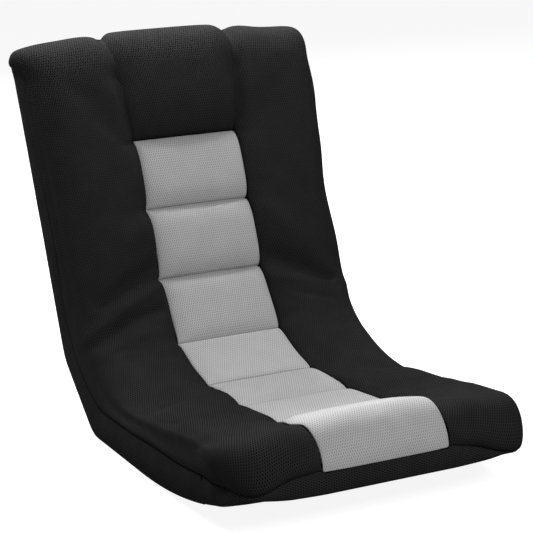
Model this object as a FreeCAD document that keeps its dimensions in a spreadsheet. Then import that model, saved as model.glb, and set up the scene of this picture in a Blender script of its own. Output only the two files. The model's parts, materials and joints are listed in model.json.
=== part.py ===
import FreeCAD, Part
import math
import os
import Sketcher
from FreeCAD import Placement, Rotation, Vector

# A legless floor chair: a padded seat with a curved underside and a padded back that folds on
# two ratchet hinges. Millimetres. X runs across the chair, Y from front to back, Z up.
# The origin is the middle of the flat patch that the chair rests on, and the chair faces -Y.

doc = FreeCAD.newDocument("floor_chair")
sheet = doc.addObject("Spreadsheet::Sheet", "sizes")

SIZES = (
    # the whole chair, seen from the side
    ("chair_width", 500, "over the side bands"),
    ("seat_thickness", 91, "floor to the sewn level of the seat"),
    ("back_thickness", 79, "rear cover to the sewn level of the back"),
    ("patch_reach", 85, "front end of the flat patch under the seat, from the origin"),
    ("rocker_radius", 850, "underside in front of the patch"),
    ("base_reach", 416, "front of the base, from the origin"),
    ("nose_setback", 18, "front of the seat at the sewn level, behind the base's front"),
    ("nose_radius", 45, "front roll at the sewn level"),
    ("nose_growth_share", 0.85, "how much the panel's front roll grows with its puff"),
    ("nose_push_share", 0.55, "how far the crown pushes the front roll out"),
    ("pelvis_radius", 212, "curve from the seat up to the back"),
    ("section_length", 118, "one sewn section of the centre panel"),
    ("head_length", 170, "headrest, along the back"),
    ("back_slope_angle", 66.7, "back from level"),
    ("heel_slope_angle", 40.2, "rear underside from level"),
    ("heel_radius", 45, "between the patch and the rear underside"),
    ("rear_bend_radius", 60, "between the rear underside and the back"),
    ("front_corner_radius", 45, "base, seen from above"),
    ("top_corner_radius", 18, "back, seen from behind"),
    # padding
    ("panel_width", 190, "centre panel"),
    ("head_top_width", 232, "headrest at its top"),
    ("crown_height", 32, "bolster above its sewn level"),
    ("seat_crown_share", 0.32, "crown left where the seat is level"),
    ("crown_fade_share", 5, "how the front curve opens with the crown"),
    ("shoulder_drop", 42, "bolster crown down to its outer edge"),
    ("ridge_share", 0.7, "place of the crown across a bolster"),
    ("shoulder_power", 3, "how square the outer shoulder is"),
    ("top_rise_share", 0.3, "how much the top rises with the crown"),
    ("top_round_share", 0.95, "round of the top edge, of the padding's depth"),
    ("panel_puff", 20, "sewn section above its seams"),
    ("panel_edge_share", 0.4, "puff left at the panel's edge"),
    ("head_puff", 26, "headrest above the sewn level"),
    ("head_edge_share", 0.35, "puff left at the headrest's edge"),
    ("puff_power", 4, "how square a puff is across the chair"),
    ("head_rise", 15, "headrest above the bolsters"),
    ("cover_thickness", 2, "laminated cover"),
    ("soft_gap", 0.3, "between soft pieces"),
    ("base_foam", 10, "foam under the frame"),
    ("band_height", 48, "side band of the seat"),
    ("back_band_width", 45, "side band of the back"),
    ("band_split", 290, "seam between front and side bands, from the origin"),
    # hinge
    ("hinge_depth", 140, "hinge axis behind the origin"),
    ("hinge_height", 65, "hinge axis above the floor"),
    ("hinge_face_depth", 22.4, "hinge axis behind the sewn level of the back"),
    ("hinge_room_radius", 21.5, "free of padding round the hinge"),
    ("heel_foam", 1, "between the hinge's room and the rear underside's cover"),
    ("hinge_clear_reach", 64, "padding closes on the tube this far from the axis"),
    ("seat_top_cut_angle", 133, "seat padding ends, seen from the axis"),
    ("back_top_cut_angle", 93, "back padding ends, seen from the axis"),
    ("back_low_cut_angle", -30, "back padding ends, seen from the axis"),
    ("seat_low_cut_angle", -110, "seat padding ends, seen from the axis"),
    ("seat_strap_angle", 200, "from the axis to the seat tube"),
    ("back_bend_run", 19.4, "from where the padding closes on the back tube to its bend"),
    ("rail_inset", 60, "middle of a side tube from the side of the chair"),
    ("cheek_radius", 18, "seat side plate round the pivot"),
    ("cheek_reach", 52, "pivot to the round end of a seat side plate"),
    ("cheek_end_radius", 8, "round end of a seat side plate"),
    ("cheek_thickness", 2.3, "seat side plate"),
    ("arm_radius", 17, "toothed disc of the back arm"),
    ("arm_thickness", 3, "back arm, seat tang and pawl"),
    ("plate_gap", 0.2, "between hinge plates"),
    ("tang_half_height", 6.4, "tang inside a tube"),
    ("seat_tang_start", 40, "from the axis"),
    ("seat_tang_end", 100, "from the axis"),
    ("back_tang_end", 68, "from the axis"),
    ("seat_tube_start", 62, "from the axis"),
    ("back_tube_start", 38, "from the axis"),
    ("tooth_count", 15, "notches in the arm"),
    ("tooth_depth", 1.6, "notch"),
    ("tooth_start_angle", 112, "first notch, from the arm"),
    ("tooth_span_angle", 105, "first notch to last"),
    ("tooth_fill_share", 0.72, "notch, of the pitch"),
    ("pivot_radius", 5, "pivot rivet"),
    ("pivot_head_radius", 8.5, "pivot rivet's head"),
    ("rivet_radius", 2.5, "fixing rivet"),
    ("rivet_head_radius", 4.2, "fixing rivet's head"),
    ("rivet_head", 1.6, "thickness of a rivet's head"),
    ("running_gap", 0.05, "shaft in a hole"),
    ("pawl_place", 29, "pawl pin along the seat side plate"),
    ("pawl_rise", 5, "pawl pin above the middle of the plate"),
    ("pawl_hub_radius", 4.5, "pawl round its pin"),
    ("pawl_tip_radius", 1.2, "pawl's nose"),
    ("pawl_pin_radius", 2, "pawl pin"),
    ("pawl_clearance", 0.3, "pawl's nose from the teeth at rest"),
    ("pawl_tip_angle", 6, "nose seen from the pivot, under the plate's line"),
    ("leaf_thickness", 0.5, "pawl spring"),
    ("leaf_width", 2.6, "pawl spring"),
    # frame
    ("tube_radius", 8, "frame tube"),
    ("tube_wall", 1.2, "frame tube"),
    ("tube_bend_radius", 100, "bends of the side tubes"),
    ("tube_corner_radius", 50, "corners of the frame"),
    ("front_bar_setback", 40, "front tube behind the front of the base"),
    ("back_tube_depth", 41, "back tube behind the sewn level"),
    ("top_bar_drop", 42, "top tube under the top of the back"),
    ("bar_radius", 6, "cross bar"),
    ("bar_wall", 1, "cross bar"),
    ("seat_bar_place", 6, "seat cross bar in front of the origin"),
    ("back_bar_place", 20, "back cross bar above the lowest back seam"),
    ("wire_radius", 1.6, "zigzag spring"),
    ("wire_gap", 0.2, "between a spring and its tube"),
    ("zigzag_width", 36, "zigzag spring"),
    ("zigzag_count", 13, "bends of one spring"),
    ("seat_spring_count", 4, "springs in the seat"),
    ("back_spring_count", 4, "springs in the back"),
    ("overrun", 20, "how far a cutting shape runs past"),
)
for row, (alias, value, note) in enumerate(SIZES, 1):
    sheet.set(f"A{row}", note)
    sheet.set(f"B{row}", str(value))
    sheet.setAlias(f"B{row}", alias)
sheet.set("D1", "=chair_width / 2 - rail_inset")
sheet.setAlias("D1", "rail_place")
doc.recompute()


def plain(value):
    """A number, also where the sheet gives a quantity."""
    return float(getattr(value, "Value", value))


class Sizes:
    """The sheet's values, read by name."""

    def __getattr__(self, alias):
        return plain(sheet.get(alias))


size = Sizes()
ACROSS = Vector(1, 0, 0)
pieces = []


# Side plane: points are Vectors with X zero, and angles are degrees from +Y towards +Z.

def side(y, z):
    return Vector(0, y, z)


def heading(angle):
    return side(math.cos(math.radians(angle)), math.sin(math.radians(angle)))


def left_of(direction):
    return side(-direction.z, direction.y)


def meet(p, p_way, q, q_way):
    """Where two lines cross."""
    reach = ((q - p).y * q_way.z - (q - p).z * q_way.y) / (p_way.y * q_way.z - p_way.z * q_way.y)
    return p + p_way * reach


def near_hit(p, way, centre, radius):
    """Where a ray first meets a circle."""
    back = (p - centre).dot(way)
    return p + way * (-back - math.sqrt(back ** 2 - (p - centre).Length ** 2 + radius ** 2))


def circle_through(a, b, c):
    """Centre of the circle through three points."""
    return meet((a + b) / 2, left_of(b - a), (b + c) / 2, left_of(c - b))


def ray_on_arc(p, way, a, b, c):
    """Where a ray crosses the arc through three points."""
    centre = circle_through(a, b, c)
    back = (centre - p).dot(way)
    half = math.sqrt(back ** 2 - (centre - p).Length ** 2 + (a - centre).Length ** 2)
    return min(p + way * (back - half), p + way * (back + half), key=b.distanceToPoint)


class Outline:
    """A chain of lines and arcs in the side plane."""

    def __init__(self, start):
        self.first = self.at = start
        self.edges = []

    def to(self, *points):
        for point in points:
            self.edges.append(Part.LineSegment(self.at, point).toShape())
            self.at = point
        return self

    def through(self, middle, end):
        self.edges.append(Part.Arc(self.at, middle, end).toShape())
        self.at = end
        return self

    def turn(self, centre, end, way):
        """An arc about a centre, way 1 from +Y towards +Z or -1 back."""
        radius = (self.at - centre).Length
        start = math.degrees(math.atan2(self.at.z - centre.z, self.at.y - centre.y))
        stop = math.degrees(math.atan2(end.z - centre.z, end.y - centre.y))
        sweep = way * ((way * (stop - start)) % 360)
        return self.through(centre + heading(start + sweep / 2) * radius, end)

    def bow(self, centre, end):
        """The shorter arc about a centre."""
        way = ((self.at + end) / 2 - centre).normalize()
        return self.through(centre + way * (end - centre).Length, end)

    def corner(self, point, way, radius):
        """A line towards a point, rounded into another direction."""
        come = (point - self.at).normalize()
        half = come.getAngle(way) / 2
        tangent = radius * math.tan(half)
        inner = (way - come).normalize()
        middle = point + inner * (radius / math.cos(half) - radius)
        return self.to(point - come * tangent).through(middle, point + way * tangent)

    def wire(self):
        return Part.Wire(self.edges + [Part.LineSegment(self.at, self.first).toShape()])


# The lines that every piece follows

HINGE = side(size.hinge_depth, size.hinge_height)
ROCKER = side(-size.patch_reach, size.rocker_radius)
UP_BACK = heading(size.back_slope_angle)
TO_REAR = -left_of(UP_BACK)
UP_HEEL = heading(size.heel_slope_angle)
LEVEL = heading(0)
PELVIS = meet(side(0, size.seat_thickness + size.pelvis_radius), LEVEL,
              HINGE - TO_REAR * (size.hinge_face_depth + size.pelvis_radius), UP_BACK)
HEEL_DEPTH = size.hinge_room_radius + size.heel_foam + size.cover_thickness + size.soft_gap
HEEL = meet(side(0, 0), LEVEL, HINGE - left_of(UP_HEEL) * HEEL_DEPTH, UP_HEEL)
BACK_FOOT = PELVIS + TO_REAR * size.pelvis_radius
TOP = BACK_FOOT + UP_BACK * (2 * size.section_length + size.head_length)
HEAD_FOOT = BACK_FOOT + UP_BACK * (2 * size.section_length)
TUBE_REACH = size.back_tube_depth - size.hinge_face_depth
BEND_REACH = size.hinge_clear_reach + size.back_bend_run
BACK_STRAP_ANGLE = size.back_slope_angle - math.degrees(math.asin(TUBE_REACH / BEND_REACH))
TUBE_HEIGHT = size.cover_thickness + size.base_foam + 2 * size.soft_gap + size.tube_radius
LAYER = size.tube_radius + size.soft_gap
OUTSIDE = size.cover_thickness + size.soft_gap
PANEL_HALF = size.panel_width / 2 - size.soft_gap / 2
BOLSTER_START = size.panel_width / 2 + size.soft_gap / 2
SKIN_X = size.chair_width / 2 - OUTSIDE
RIM_X = size.rail_place + LAYER
SEAT_WAY = heading(size.seat_strap_angle)
BACK_WAY = heading(BACK_STRAP_ANGLE)
PELVIS_ARC = math.radians(size.back_slope_angle) * size.pelvis_radius
FLAT_RUN = size.patch_reach + PELVIS.y
NOSE_REACH = size.base_reach - size.nose_setback


def seam_place(distance):
    """A point of the sewn level and its outward normal, along it from the back's foot."""
    if distance <= 0:
        return BACK_FOOT - UP_BACK * distance, -TO_REAR
    if distance <= PELVIS_ARC:
        turned = size.back_slope_angle - math.degrees(distance / size.pelvis_radius)
        return PELVIS - left_of(heading(turned)) * size.pelvis_radius, left_of(heading(turned))
    if distance <= PELVIS_ARC + FLAT_RUN:
        beyond = distance - PELVIS_ARC
        return side(PELVIS.y - beyond, size.seat_thickness), heading(90)
    top_radius = size.rocker_radius - size.seat_thickness
    turned = -math.degrees((distance - PELVIS_ARC - FLAT_RUN) / top_radius)
    return ROCKER - left_of(heading(turned)) * top_radius, left_of(heading(turned))


def seam(number):
    """Seam of the centre panel, counted down from the back's foot."""
    return seam_place(number * size.section_length)[0]


def puffed(number, puff):
    """Middle of the section that starts at a seam, raised by its puff."""
    place, normal = seam_place((number + 0.5) * size.section_length)
    return place + normal * puff


def ray_start(angle, shift):
    return HINGE + left_of(heading(angle)) * shift


def on_ray(angle, shift, radius):
    """A point on a ray from beside the hinge, at a distance from its axis."""
    return ray_start(angle, shift) + heading(angle) * math.sqrt(radius ** 2 - shift ** 2)


def heel_meets(angle, shift, depth):
    """Where a ray from beside the hinge leaves through the rear underside."""
    start = HEEL + left_of(UP_HEEL) * depth
    return meet(ray_start(angle, shift), heading(angle), start, UP_HEEL)


def rocker_at(y, height):
    """A point of the curved underside raised by a height, at a distance from the origin."""
    radius = size.rocker_radius - height
    return side(y, ROCKER.z - math.sqrt(radius ** 2 - (y - ROCKER.y) ** 2))


def under_seat(outline, depth):
    """From the front to the rear cut, at a depth inside the underside."""
    outline.turn(ROCKER, side(ROCKER.y, depth), 1)
    corner = meet(side(0, depth), LEVEL, HEEL + left_of(UP_HEEL) * depth, UP_HEEL)
    outline.corner(corner, UP_HEEL, size.heel_radius - depth)
    return outline.to(heel_meets(size.seat_low_cut_angle, 0, depth))


def under_seat_back(outline, depth):
    """The same way from the rear cut to the front."""
    corner = meet(side(0, depth), LEVEL, HEEL + left_of(UP_HEEL) * depth, UP_HEEL)
    outline.corner(corner, -LEVEL, size.heel_radius - depth)
    return outline.to(side(ROCKER.y, depth))


def tube_line(way, depth):
    """A point and direction of the straight tube by the hinge, offset to the padding's side."""
    return HINGE + left_of(way) * depth, way


FRONT_BAR_Y = -size.base_reach + size.front_bar_setback
SPLIT_Y = FRONT_BAR_Y - LAYER
SPLIT = rocker_at(SPLIT_Y, TUBE_HEIGHT + LAYER)


def seat_layer(outline, offset):
    """From the front towards the hinge, beside the seat tube."""
    way = -SEAT_WAY
    level = TUBE_HEIGHT + offset
    outline.turn(ROCKER, side(ROCKER.y, level), 1)
    bend = meet(side(0, level), LEVEL, *tube_line(way, offset))
    outline.corner(bend, way, size.tube_bend_radius - offset)
    return outline.to(HINGE - way * size.hinge_clear_reach + left_of(way) * offset)


def seat_layer_back(outline, offset):
    """From near the hinge to where the rocker begins, beside the seat tube."""
    way = -SEAT_WAY
    level = TUBE_HEIGHT + offset
    outline.to(HINGE - way * size.hinge_clear_reach + left_of(way) * offset)
    bend = meet(side(0, level), LEVEL, *tube_line(way, offset))
    outline.corner(bend, -LEVEL, size.tube_bend_radius - offset)
    return outline.to(side(ROCKER.y, level))


def back_tube_place(offset):
    """A point of the long straight stretch beside the back tube."""
    return BACK_FOOT + TO_REAR * (size.back_tube_depth - offset)


def top_at(depth):
    """A point of the top of the back, at a depth behind the sewn level."""
    return TOP + TO_REAR * depth


def back_layer_down(outline, offset):
    """From the top towards the hinge, beside the back tube."""
    bend = meet(back_tube_place(offset), UP_BACK, *tube_line(BACK_WAY, offset))
    outline.corner(bend, -BACK_WAY, size.tube_bend_radius - offset)
    return outline.to(HINGE + BACK_WAY * size.hinge_clear_reach + left_of(BACK_WAY) * offset)


def rear_up(outline, depth):
    """From the heel to the top, at a depth inside the rear cover."""
    rear = BACK_FOOT + TO_REAR * (size.back_thickness - depth)
    bend = meet(rear, UP_BACK, HEEL + left_of(UP_HEEL) * depth, UP_HEEL)
    outline.corner(bend, UP_BACK, size.rear_bend_radius - depth)
    return outline.to(top_at(size.back_thickness - depth))


def rear_down(outline, depth):
    """The same way from the top to the low cut."""
    rear = BACK_FOOT + TO_REAR * (size.back_thickness - depth)
    bend = meet(rear, UP_BACK, HEEL + left_of(UP_HEEL) * depth, UP_HEEL)
    outline.corner(bend, -UP_HEEL, size.rear_bend_radius - depth)
    return outline.to(heel_meets(size.back_low_cut_angle, 0, depth))


# Building blocks

def keep(thing, label):
    thing.Label = label
    pieces.append((label, thing))
    return thing


def feature(name, shape):
    thing = doc.addObject("Part::Feature", name)
    thing.Shape = shape
    return thing


def extruded(name, wire, width_rule):
    """A side outline carried across the chair, as wide as a rule in the sheet's names says."""
    face = feature(name + "_outline", Part.Face(wire))
    thing = doc.addObject("Part::Extrusion", name)
    thing.Base = face
    thing.DirMode = "Custom"
    thing.Dir = ACROSS
    thing.Solid = True
    thing.Symmetric = True
    thing.setExpression("LengthFwd", width_rule)
    return thing


def prism(name, wire, way, length):
    face = feature(name + "_outline", Part.Face(wire))
    thing = doc.addObject("Part::Extrusion", name)
    thing.Base = face
    thing.DirMode = "Custom"
    thing.Dir = way
    thing.Solid = True
    thing.Symmetric = True
    thing.LengthFwd = length
    return thing


def joined(name, things):
    thing = doc.addObject("Part::MultiFuse", name)
    thing.Shapes = things
    return thing


def common(name, things):
    thing = doc.addObject("Part::MultiCommon", name)
    thing.Shapes = things
    return thing


def cut(name, base, tool):
    thing = doc.addObject("Part::Cut", name)
    thing.Base = base
    thing.Tool = tool
    return thing


def group(name, things):
    thing = doc.addObject("Part::Compound", name)
    thing.Links = things
    return thing


def mirrored(name, source):
    thing = doc.addObject("Part::Mirroring", name)
    thing.Source = source
    thing.Normal = ACROSS
    return thing


def both_sides(name, right):
    """Keeps a right-hand piece and its mirror image."""
    keep(right, name + "_right")
    keep(mirrored(name + "_mirror", right), name + "_left")


def box(name, low, high):
    thing = doc.addObject("Part::Box", name)
    thing.Length, thing.Width, thing.Height = high - low
    thing.Placement = Placement(low, Rotation())
    return thing


def shaft(name, radius_rule, length_rule, place):
    """A round bar along X, its middle at a place."""
    thing = doc.addObject("Part::Cylinder", name)
    thing.setExpression("Radius", radius_rule)
    thing.setExpression("Height", length_rule)
    half = plain(thing.evalExpression(length_rule)) / 2
    thing.Placement = Placement(place - ACROSS * half, Rotation(Vector(0, 1, 0), 90))
    return thing


def rounded_plan(half, far, near, radius, origin, way):
    """A flat outline with two rounded corners, its length along way."""
    a, b = origin - ACROSS * half - way * near, origin - ACROSS * half + way * (far - radius)
    c, d = origin - ACROSS * (half - radius) + way * far, origin + ACROSS * (half - radius) + way * far
    e, f = origin + ACROSS * half + way * (far - radius), origin + ACROSS * half - way * near
    bulge = radius * (1 - math.sqrt(0.5))
    left = origin - ACROSS * (half - bulge) + way * (far - bulge)
    right = origin + ACROSS * (half - bulge) + way * (far - bulge)
    return Part.Wire([Part.LineSegment(a, b).toShape(), Part.Arc(b, left, c).toShape(),
                      Part.LineSegment(c, d).toShape(), Part.Arc(d, right, e).toShape(),
                      Part.LineSegment(e, f).toShape(), Part.LineSegment(f, a).toShape()])


def seat_plan(name, inset):
    """Everything within the seat's outline seen from above."""
    wire = rounded_plan(size.chair_width / 2 - inset, size.base_reach - inset,
                        HINGE.y + size.overrun, size.front_corner_radius - inset,
                        side(0, 0), -LEVEL)
    return prism(name, wire, Vector(0, 0, 1), 4 * size.seat_thickness)


def back_plan(name, inset):
    """Everything within the back's outline seen from behind."""
    reach = (TOP - HINGE).dot(UP_BACK)
    wire = rounded_plan(size.chair_width / 2 - inset, reach - inset, size.seat_thickness,
                        size.top_corner_radius - inset, HINGE, UP_BACK)
    return prism(name, wire, TO_REAR, 4 * size.back_thickness)


# Padding

def swell(share):
    """Height of a bolster above its sewn level, across it from the panel to the outside."""
    if share < size.ridge_share:
        return size.crown_height * math.sqrt(1 - (1 - share / size.ridge_share) ** 2)
    fall = (share - size.ridge_share) / (1 - size.ridge_share)
    power = size.shoulder_power
    return size.crown_height - size.shoulder_drop * (1 - (1 - fall ** power) ** (1 / power))


def nose_limit(pivot, top, front_y):
    """The largest front roll that still ends above the front band."""
    ahead = front_y - pivot.y
    drop = pivot.z - SPLIT.z - size.cover_thickness
    return (ahead ** 2 + drop ** 2 - top ** 2) / (2 * (top - ahead))


def seat_section(rise):
    """Side outline of the seat's padding above the frame, raised above its sewn level."""
    crown = max(rise, 0)
    level = size.seat_thickness + (rise if rise < 0 else size.seat_crown_share * rise)
    top = size.rocker_radius - level + size.crown_fade_share * crown
    pivot = side(ROCKER.y, level + top)
    front_y = -NOSE_REACH - size.nose_push_share * rise
    nose = min(size.nose_radius + min(rise, 0), nose_limit(pivot, top, front_y))
    across = front_y + nose - pivot.y
    centre = side(front_y + nose, pivot.z - math.sqrt((top + nose) ** 2 - across ** 2))
    front = centre - LEVEL * nose
    start = near_hit(HINGE, heading(size.seat_top_cut_angle), PELVIS, size.pelvis_radius - rise)
    inward = (PELVIS - start).normalize()
    bend = (start.z - level) / (1 - inward.z)
    outline = Outline(start)
    outline.turn(start + inward * bend, side((start + inward * bend).y, level), -1)
    outline.to(side(ROCKER.y, level))
    outline.turn(pivot, pivot + (centre - pivot).normalize() * top, -1)
    outline.turn(centre, front, 1)
    outline.to(side(front.y, SPLIT.z), SPLIT)
    seat_layer(outline, LAYER)
    return outline.to(on_ray(size.seat_top_cut_angle, 0, size.hinge_room_radius)).wire()


def back_section(rise):
    """Side outline of the back's padding in front of the frame."""
    start = near_hit(HINGE, heading(size.back_top_cut_angle), PELVIS, size.pelvis_radius - rise)
    layer = size.back_tube_depth - LAYER
    peak = top_at(-rise) + UP_BACK * (size.top_rise_share * rise)
    outline = Outline(start)
    outline.turn(PELVIS, PELVIS + TO_REAR * (size.pelvis_radius - rise), 1)
    outline.corner(peak, TO_REAR, size.top_round_share * (layer + rise))
    outline.to(peak + TO_REAR * (layer + rise))
    back_layer_down(outline, LAYER)
    return outline.to(on_ray(size.back_top_cut_angle, 0, size.hinge_room_radius)).wire()


def fold_section(rise):
    """Side outline of the padding that bends between seat and back."""
    gap = size.soft_gap
    radius = size.pelvis_radius - rise
    back = near_hit(ray_start(size.back_top_cut_angle, gap), heading(size.back_top_cut_angle),
                    PELVIS, radius)
    seat = near_hit(ray_start(size.seat_top_cut_angle, -gap), heading(size.seat_top_cut_angle),
                    PELVIS, radius)
    outline = Outline(back).turn(PELVIS, seat, -1)
    outline.to(on_ray(size.seat_top_cut_angle, -gap, size.hinge_room_radius))
    outline.turn(HINGE, on_ray(size.back_top_cut_angle, gap, size.hinge_room_radius), -1)
    return outline.wire()


def panel_puff(share):
    """Puff of the centre panel across its half width."""
    crown = math.sqrt(1 - share ** size.puff_power)
    return size.panel_puff * (size.panel_edge_share + (1 - size.panel_edge_share) * crown)


def seat_panel_section(puff):
    """Side outline of the seat's centre panel, with a groove at every seam."""
    top = size.rocker_radius - size.seat_thickness - puff
    front_y = -NOSE_REACH - puff
    nose = min(size.nose_radius + size.nose_growth_share * puff, nose_limit(ROCKER, top, front_y))
    across = front_y + nose - ROCKER.y
    centre = side(front_y + nose, ROCKER.z - math.sqrt((top + nose) ** 2 - across ** 2))
    front = centre - LEVEL * nose
    section = seam(1), puffed(1, puff), seam(2)
    start = ray_on_arc(HINGE, heading(size.seat_top_cut_angle), *section)
    outline = Outline(start).bow(circle_through(*section), seam(2))
    outline.through(puffed(2, puff), seam(3)).through(puffed(3, puff), seam(4))
    crest = ROCKER + (centre - ROCKER).normalize() * top
    middle = (seam(4) + crest) / 2 + (ROCKER - crest).normalize() * (puff / 2)
    outline.through(middle, crest).turn(centre, front, 1)
    outline.to(side(front.y, SPLIT.z), SPLIT)
    seat_layer(outline, LAYER)
    return outline.to(on_ray(size.seat_top_cut_angle, 0, size.hinge_room_radius)).wire()


def back_panel_section(puff):
    """Side outline of the back's centre panel."""
    section = seam(0), puffed(0, puff), seam(1)
    start = ray_on_arc(HINGE, heading(size.back_top_cut_angle), *section)
    outline = Outline(start).bow(circle_through(*section), seam(0))
    outline.through(puffed(-1, puff), seam(-1)).through(puffed(-2, puff), seam(-2))
    outline.to(seam(-2) + TO_REAR * (size.back_tube_depth - LAYER))
    back_layer_down(outline, LAYER)
    return outline.to(on_ray(size.back_top_cut_angle, 0, size.hinge_room_radius)).wire()


def fold_panel_section(puff):
    """Side outline of the centre panel where it bends."""
    gap = size.soft_gap
    upper = seam(0), puffed(0, puff), seam(1)
    lower = seam(1), puffed(1, puff), seam(2)
    high, low = size.back_top_cut_angle, size.seat_top_cut_angle
    back = ray_on_arc(ray_start(high, gap), heading(high), *upper)
    seat = ray_on_arc(ray_start(low, -gap), heading(low), *lower)
    outline = Outline(back).bow(circle_through(*upper), seam(1)).bow(circle_through(*lower), seat)
    outline.to(on_ray(size.seat_top_cut_angle, -gap, size.hinge_room_radius))
    outline.turn(HINGE, on_ray(size.back_top_cut_angle, gap, size.hinge_room_radius), -1)
    return outline.wire()


def head_section(puff):
    """Side outline of the headrest pad."""
    foot = HEAD_FOOT + UP_BACK * size.soft_gap
    layer = size.back_tube_depth - LAYER
    peak = top_at(-puff) + UP_BACK * (size.head_rise + size.top_rise_share * puff)
    edge = foot + UP_BACK * puff
    outline = Outline(foot + TO_REAR * layer).to(foot)
    outline.turn(edge, edge - TO_REAR * puff, -1)
    outline.corner(peak, TO_REAR, size.top_round_share * (layer + puff))
    return outline.to(peak + TO_REAR * (layer + puff)).wire()


def lofted(name, section, places):
    """A padded form through side outlines, each (distance across the chair, rise)."""
    wires = [section(rise).translated(ACROSS * x) for x, rise in places]
    return feature(name, Part.makeLoft(wires, True, False))


BOLSTER_SHARES = (0, 0.05, 0.18, 0.42, 0.7, 0.85, 0.95, 0.985, 1)
PANEL_SHARES = (-1, -0.92, -0.6, 0, 0.6, 0.92, 1)


def bolster_places():
    span = SKIN_X - BOLSTER_START
    return [(BOLSTER_START + span * share, swell(share)) for share in BOLSTER_SHARES]


def panel_places(half, rule):
    return [(half * share, rule(abs(share))) for share in PANEL_SHARES]


def head_swell(share):
    """Puff of the headrest across its half width."""
    crown = math.sqrt(1 - share ** size.puff_power)
    return size.head_puff * (size.head_edge_share + (1 - size.head_edge_share) * crown)


def head_prism(name, gap):
    """The headrest's tapered outline seen from the front, grown by a gap."""
    low, high = size.panel_width / 2 + gap, size.head_top_width / 2 + gap
    foot = HEAD_FOOT - UP_BACK * gap
    peak = TOP + UP_BACK * size.chair_width
    widen = (high - low) * (peak - HEAD_FOOT).Length / size.head_length
    corners = [foot - ACROSS * low, foot + ACROSS * low,
               peak + ACROSS * (low + widen), peak - ACROSS * (low + widen)]
    return prism(name, Part.makePolygon(corners + corners[:1]), TO_REAR, 4 * size.back_thickness)


def padding():
    both_sides("seat_bolster", lofted("seat_bolster", seat_section, bolster_places()))
    both_sides("fold_bolster", lofted("fold_bolster", fold_section, bolster_places()))
    plain = lofted("back_bolster_full", back_section, bolster_places())
    both_sides("back_bolster", cut("back_bolster", plain, head_prism("head_room", size.soft_gap / 2)))
    keep(lofted("seat_panel", seat_panel_section, panel_places(PANEL_HALF, panel_puff)),
         "seat_center_panel")
    keep(lofted("fold_panel", fold_panel_section, panel_places(PANEL_HALF, panel_puff)),
         "fold_center_panel")
    keep(lofted("back_panel", back_panel_section, panel_places(PANEL_HALF, panel_puff)),
         "back_center_panel")
    head = lofted("head_full", head_section, panel_places(size.head_top_width / 2, head_swell))
    keep(common("head_pad", [head, head_prism("head_outline", -size.soft_gap / 2)]), "headrest_pad")


def lower_padding():
    """Foam trays that hold the frame, and the pads at the hinge."""
    inner = "sizes.chair_width - 2 * (sizes.cover_thickness + sizes.soft_gap)"
    room = size.hinge_room_radius
    low, top = size.seat_low_cut_angle, size.seat_top_cut_angle
    front = -size.base_reach + OUTSIDE

    slab = under_seat(Outline(rocker_at(front, OUTSIDE)), OUTSIDE).to(on_ray(low, 0, room))
    slab = seat_layer_back(slab, -LAYER).turn(ROCKER, rocker_at(front, TUBE_HEIGHT - LAYER), -1)
    rim = under_seat(Outline(rocker_at(front, OUTSIDE)), OUTSIDE).to(on_ray(low, 0, room))
    rim.turn(HINGE, on_ray(top, 0, room), -1)
    rim = seat_layer_back(rim, size.tube_radius)
    rim.turn(ROCKER, rocker_at(SPLIT_Y, TUBE_HEIGHT + size.tube_radius), -1)
    rim.to(side(front, rim.at.z))
    lip = Outline(rocker_at(front, OUTSIDE)).turn(ROCKER, rocker_at(SPLIT_Y, OUTSIDE), 1)
    lip.to(rocker_at(SPLIT_Y, TUBE_HEIGHT + size.tube_radius)).to(side(front, lip.at.z))
    tray = tray_of("seat_base", slab, rim, lip, inner)
    tray = common("seat_tray", [tray, seat_plan("seat_foam_plan", OUTSIDE)])
    groove = feature("seat_tube_groove", pipe(seat_path(), LAYER))
    keep(cut("seat_base_foam", tray, groove), "seat_base_foam")

    low, top = size.back_low_cut_angle, size.back_top_cut_angle
    deep = size.back_thickness - OUTSIDE
    foot = heel_meets(low, 0, OUTSIDE)
    slab = rear_up(Outline(foot), OUTSIDE).to(top_at(size.back_tube_depth + LAYER))
    slab = back_layer_down(slab, -LAYER).to(on_ray(low, 0, room))
    rim = rear_up(Outline(foot), OUTSIDE).to(top_at(size.back_tube_depth - size.tube_radius))
    rim = back_layer_down(rim, size.tube_radius).to(on_ray(top, 0, room))
    rim.turn(HINGE, on_ray(low, 0, room), -1)
    drop = UP_BACK * (size.top_bar_drop - LAYER)
    shallow = size.back_tube_depth - size.tube_radius
    lip = Outline(top_at(deep)).to(top_at(shallow), top_at(shallow) - drop, top_at(deep) - drop)
    tray = tray_of("back_base", slab, rim, lip, inner)
    keep(common("back_rear_foam", [tray, back_plan("back_foam_plan", OUTSIDE)]), "back_rear_foam")

    gap = size.soft_gap
    low, top = size.seat_low_cut_angle, size.back_low_cut_angle
    gusset = Outline(heel_meets(low, gap, 0)).to(heel_meets(top, -gap, 0), on_ray(top, -gap, room))
    gusset.turn(HINGE, on_ray(low, gap, room), -1)
    keep(extruded("gusset", gusset.wire(), "sizes.chair_width"), "heel_gusset")

    plug = shaft("hinge_pad", "sizes.hinge_room_radius - sizes.soft_gap",
                 "sizes.chair_width / 2 - sizes.cover_thickness - sizes.rail_place"
                 " - sizes.tube_radius - 2 * sizes.soft_gap",
                 HINGE + ACROSS * ((SKIN_X + RIM_X) / 2))
    both_sides("hinge_pad", plug)


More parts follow.
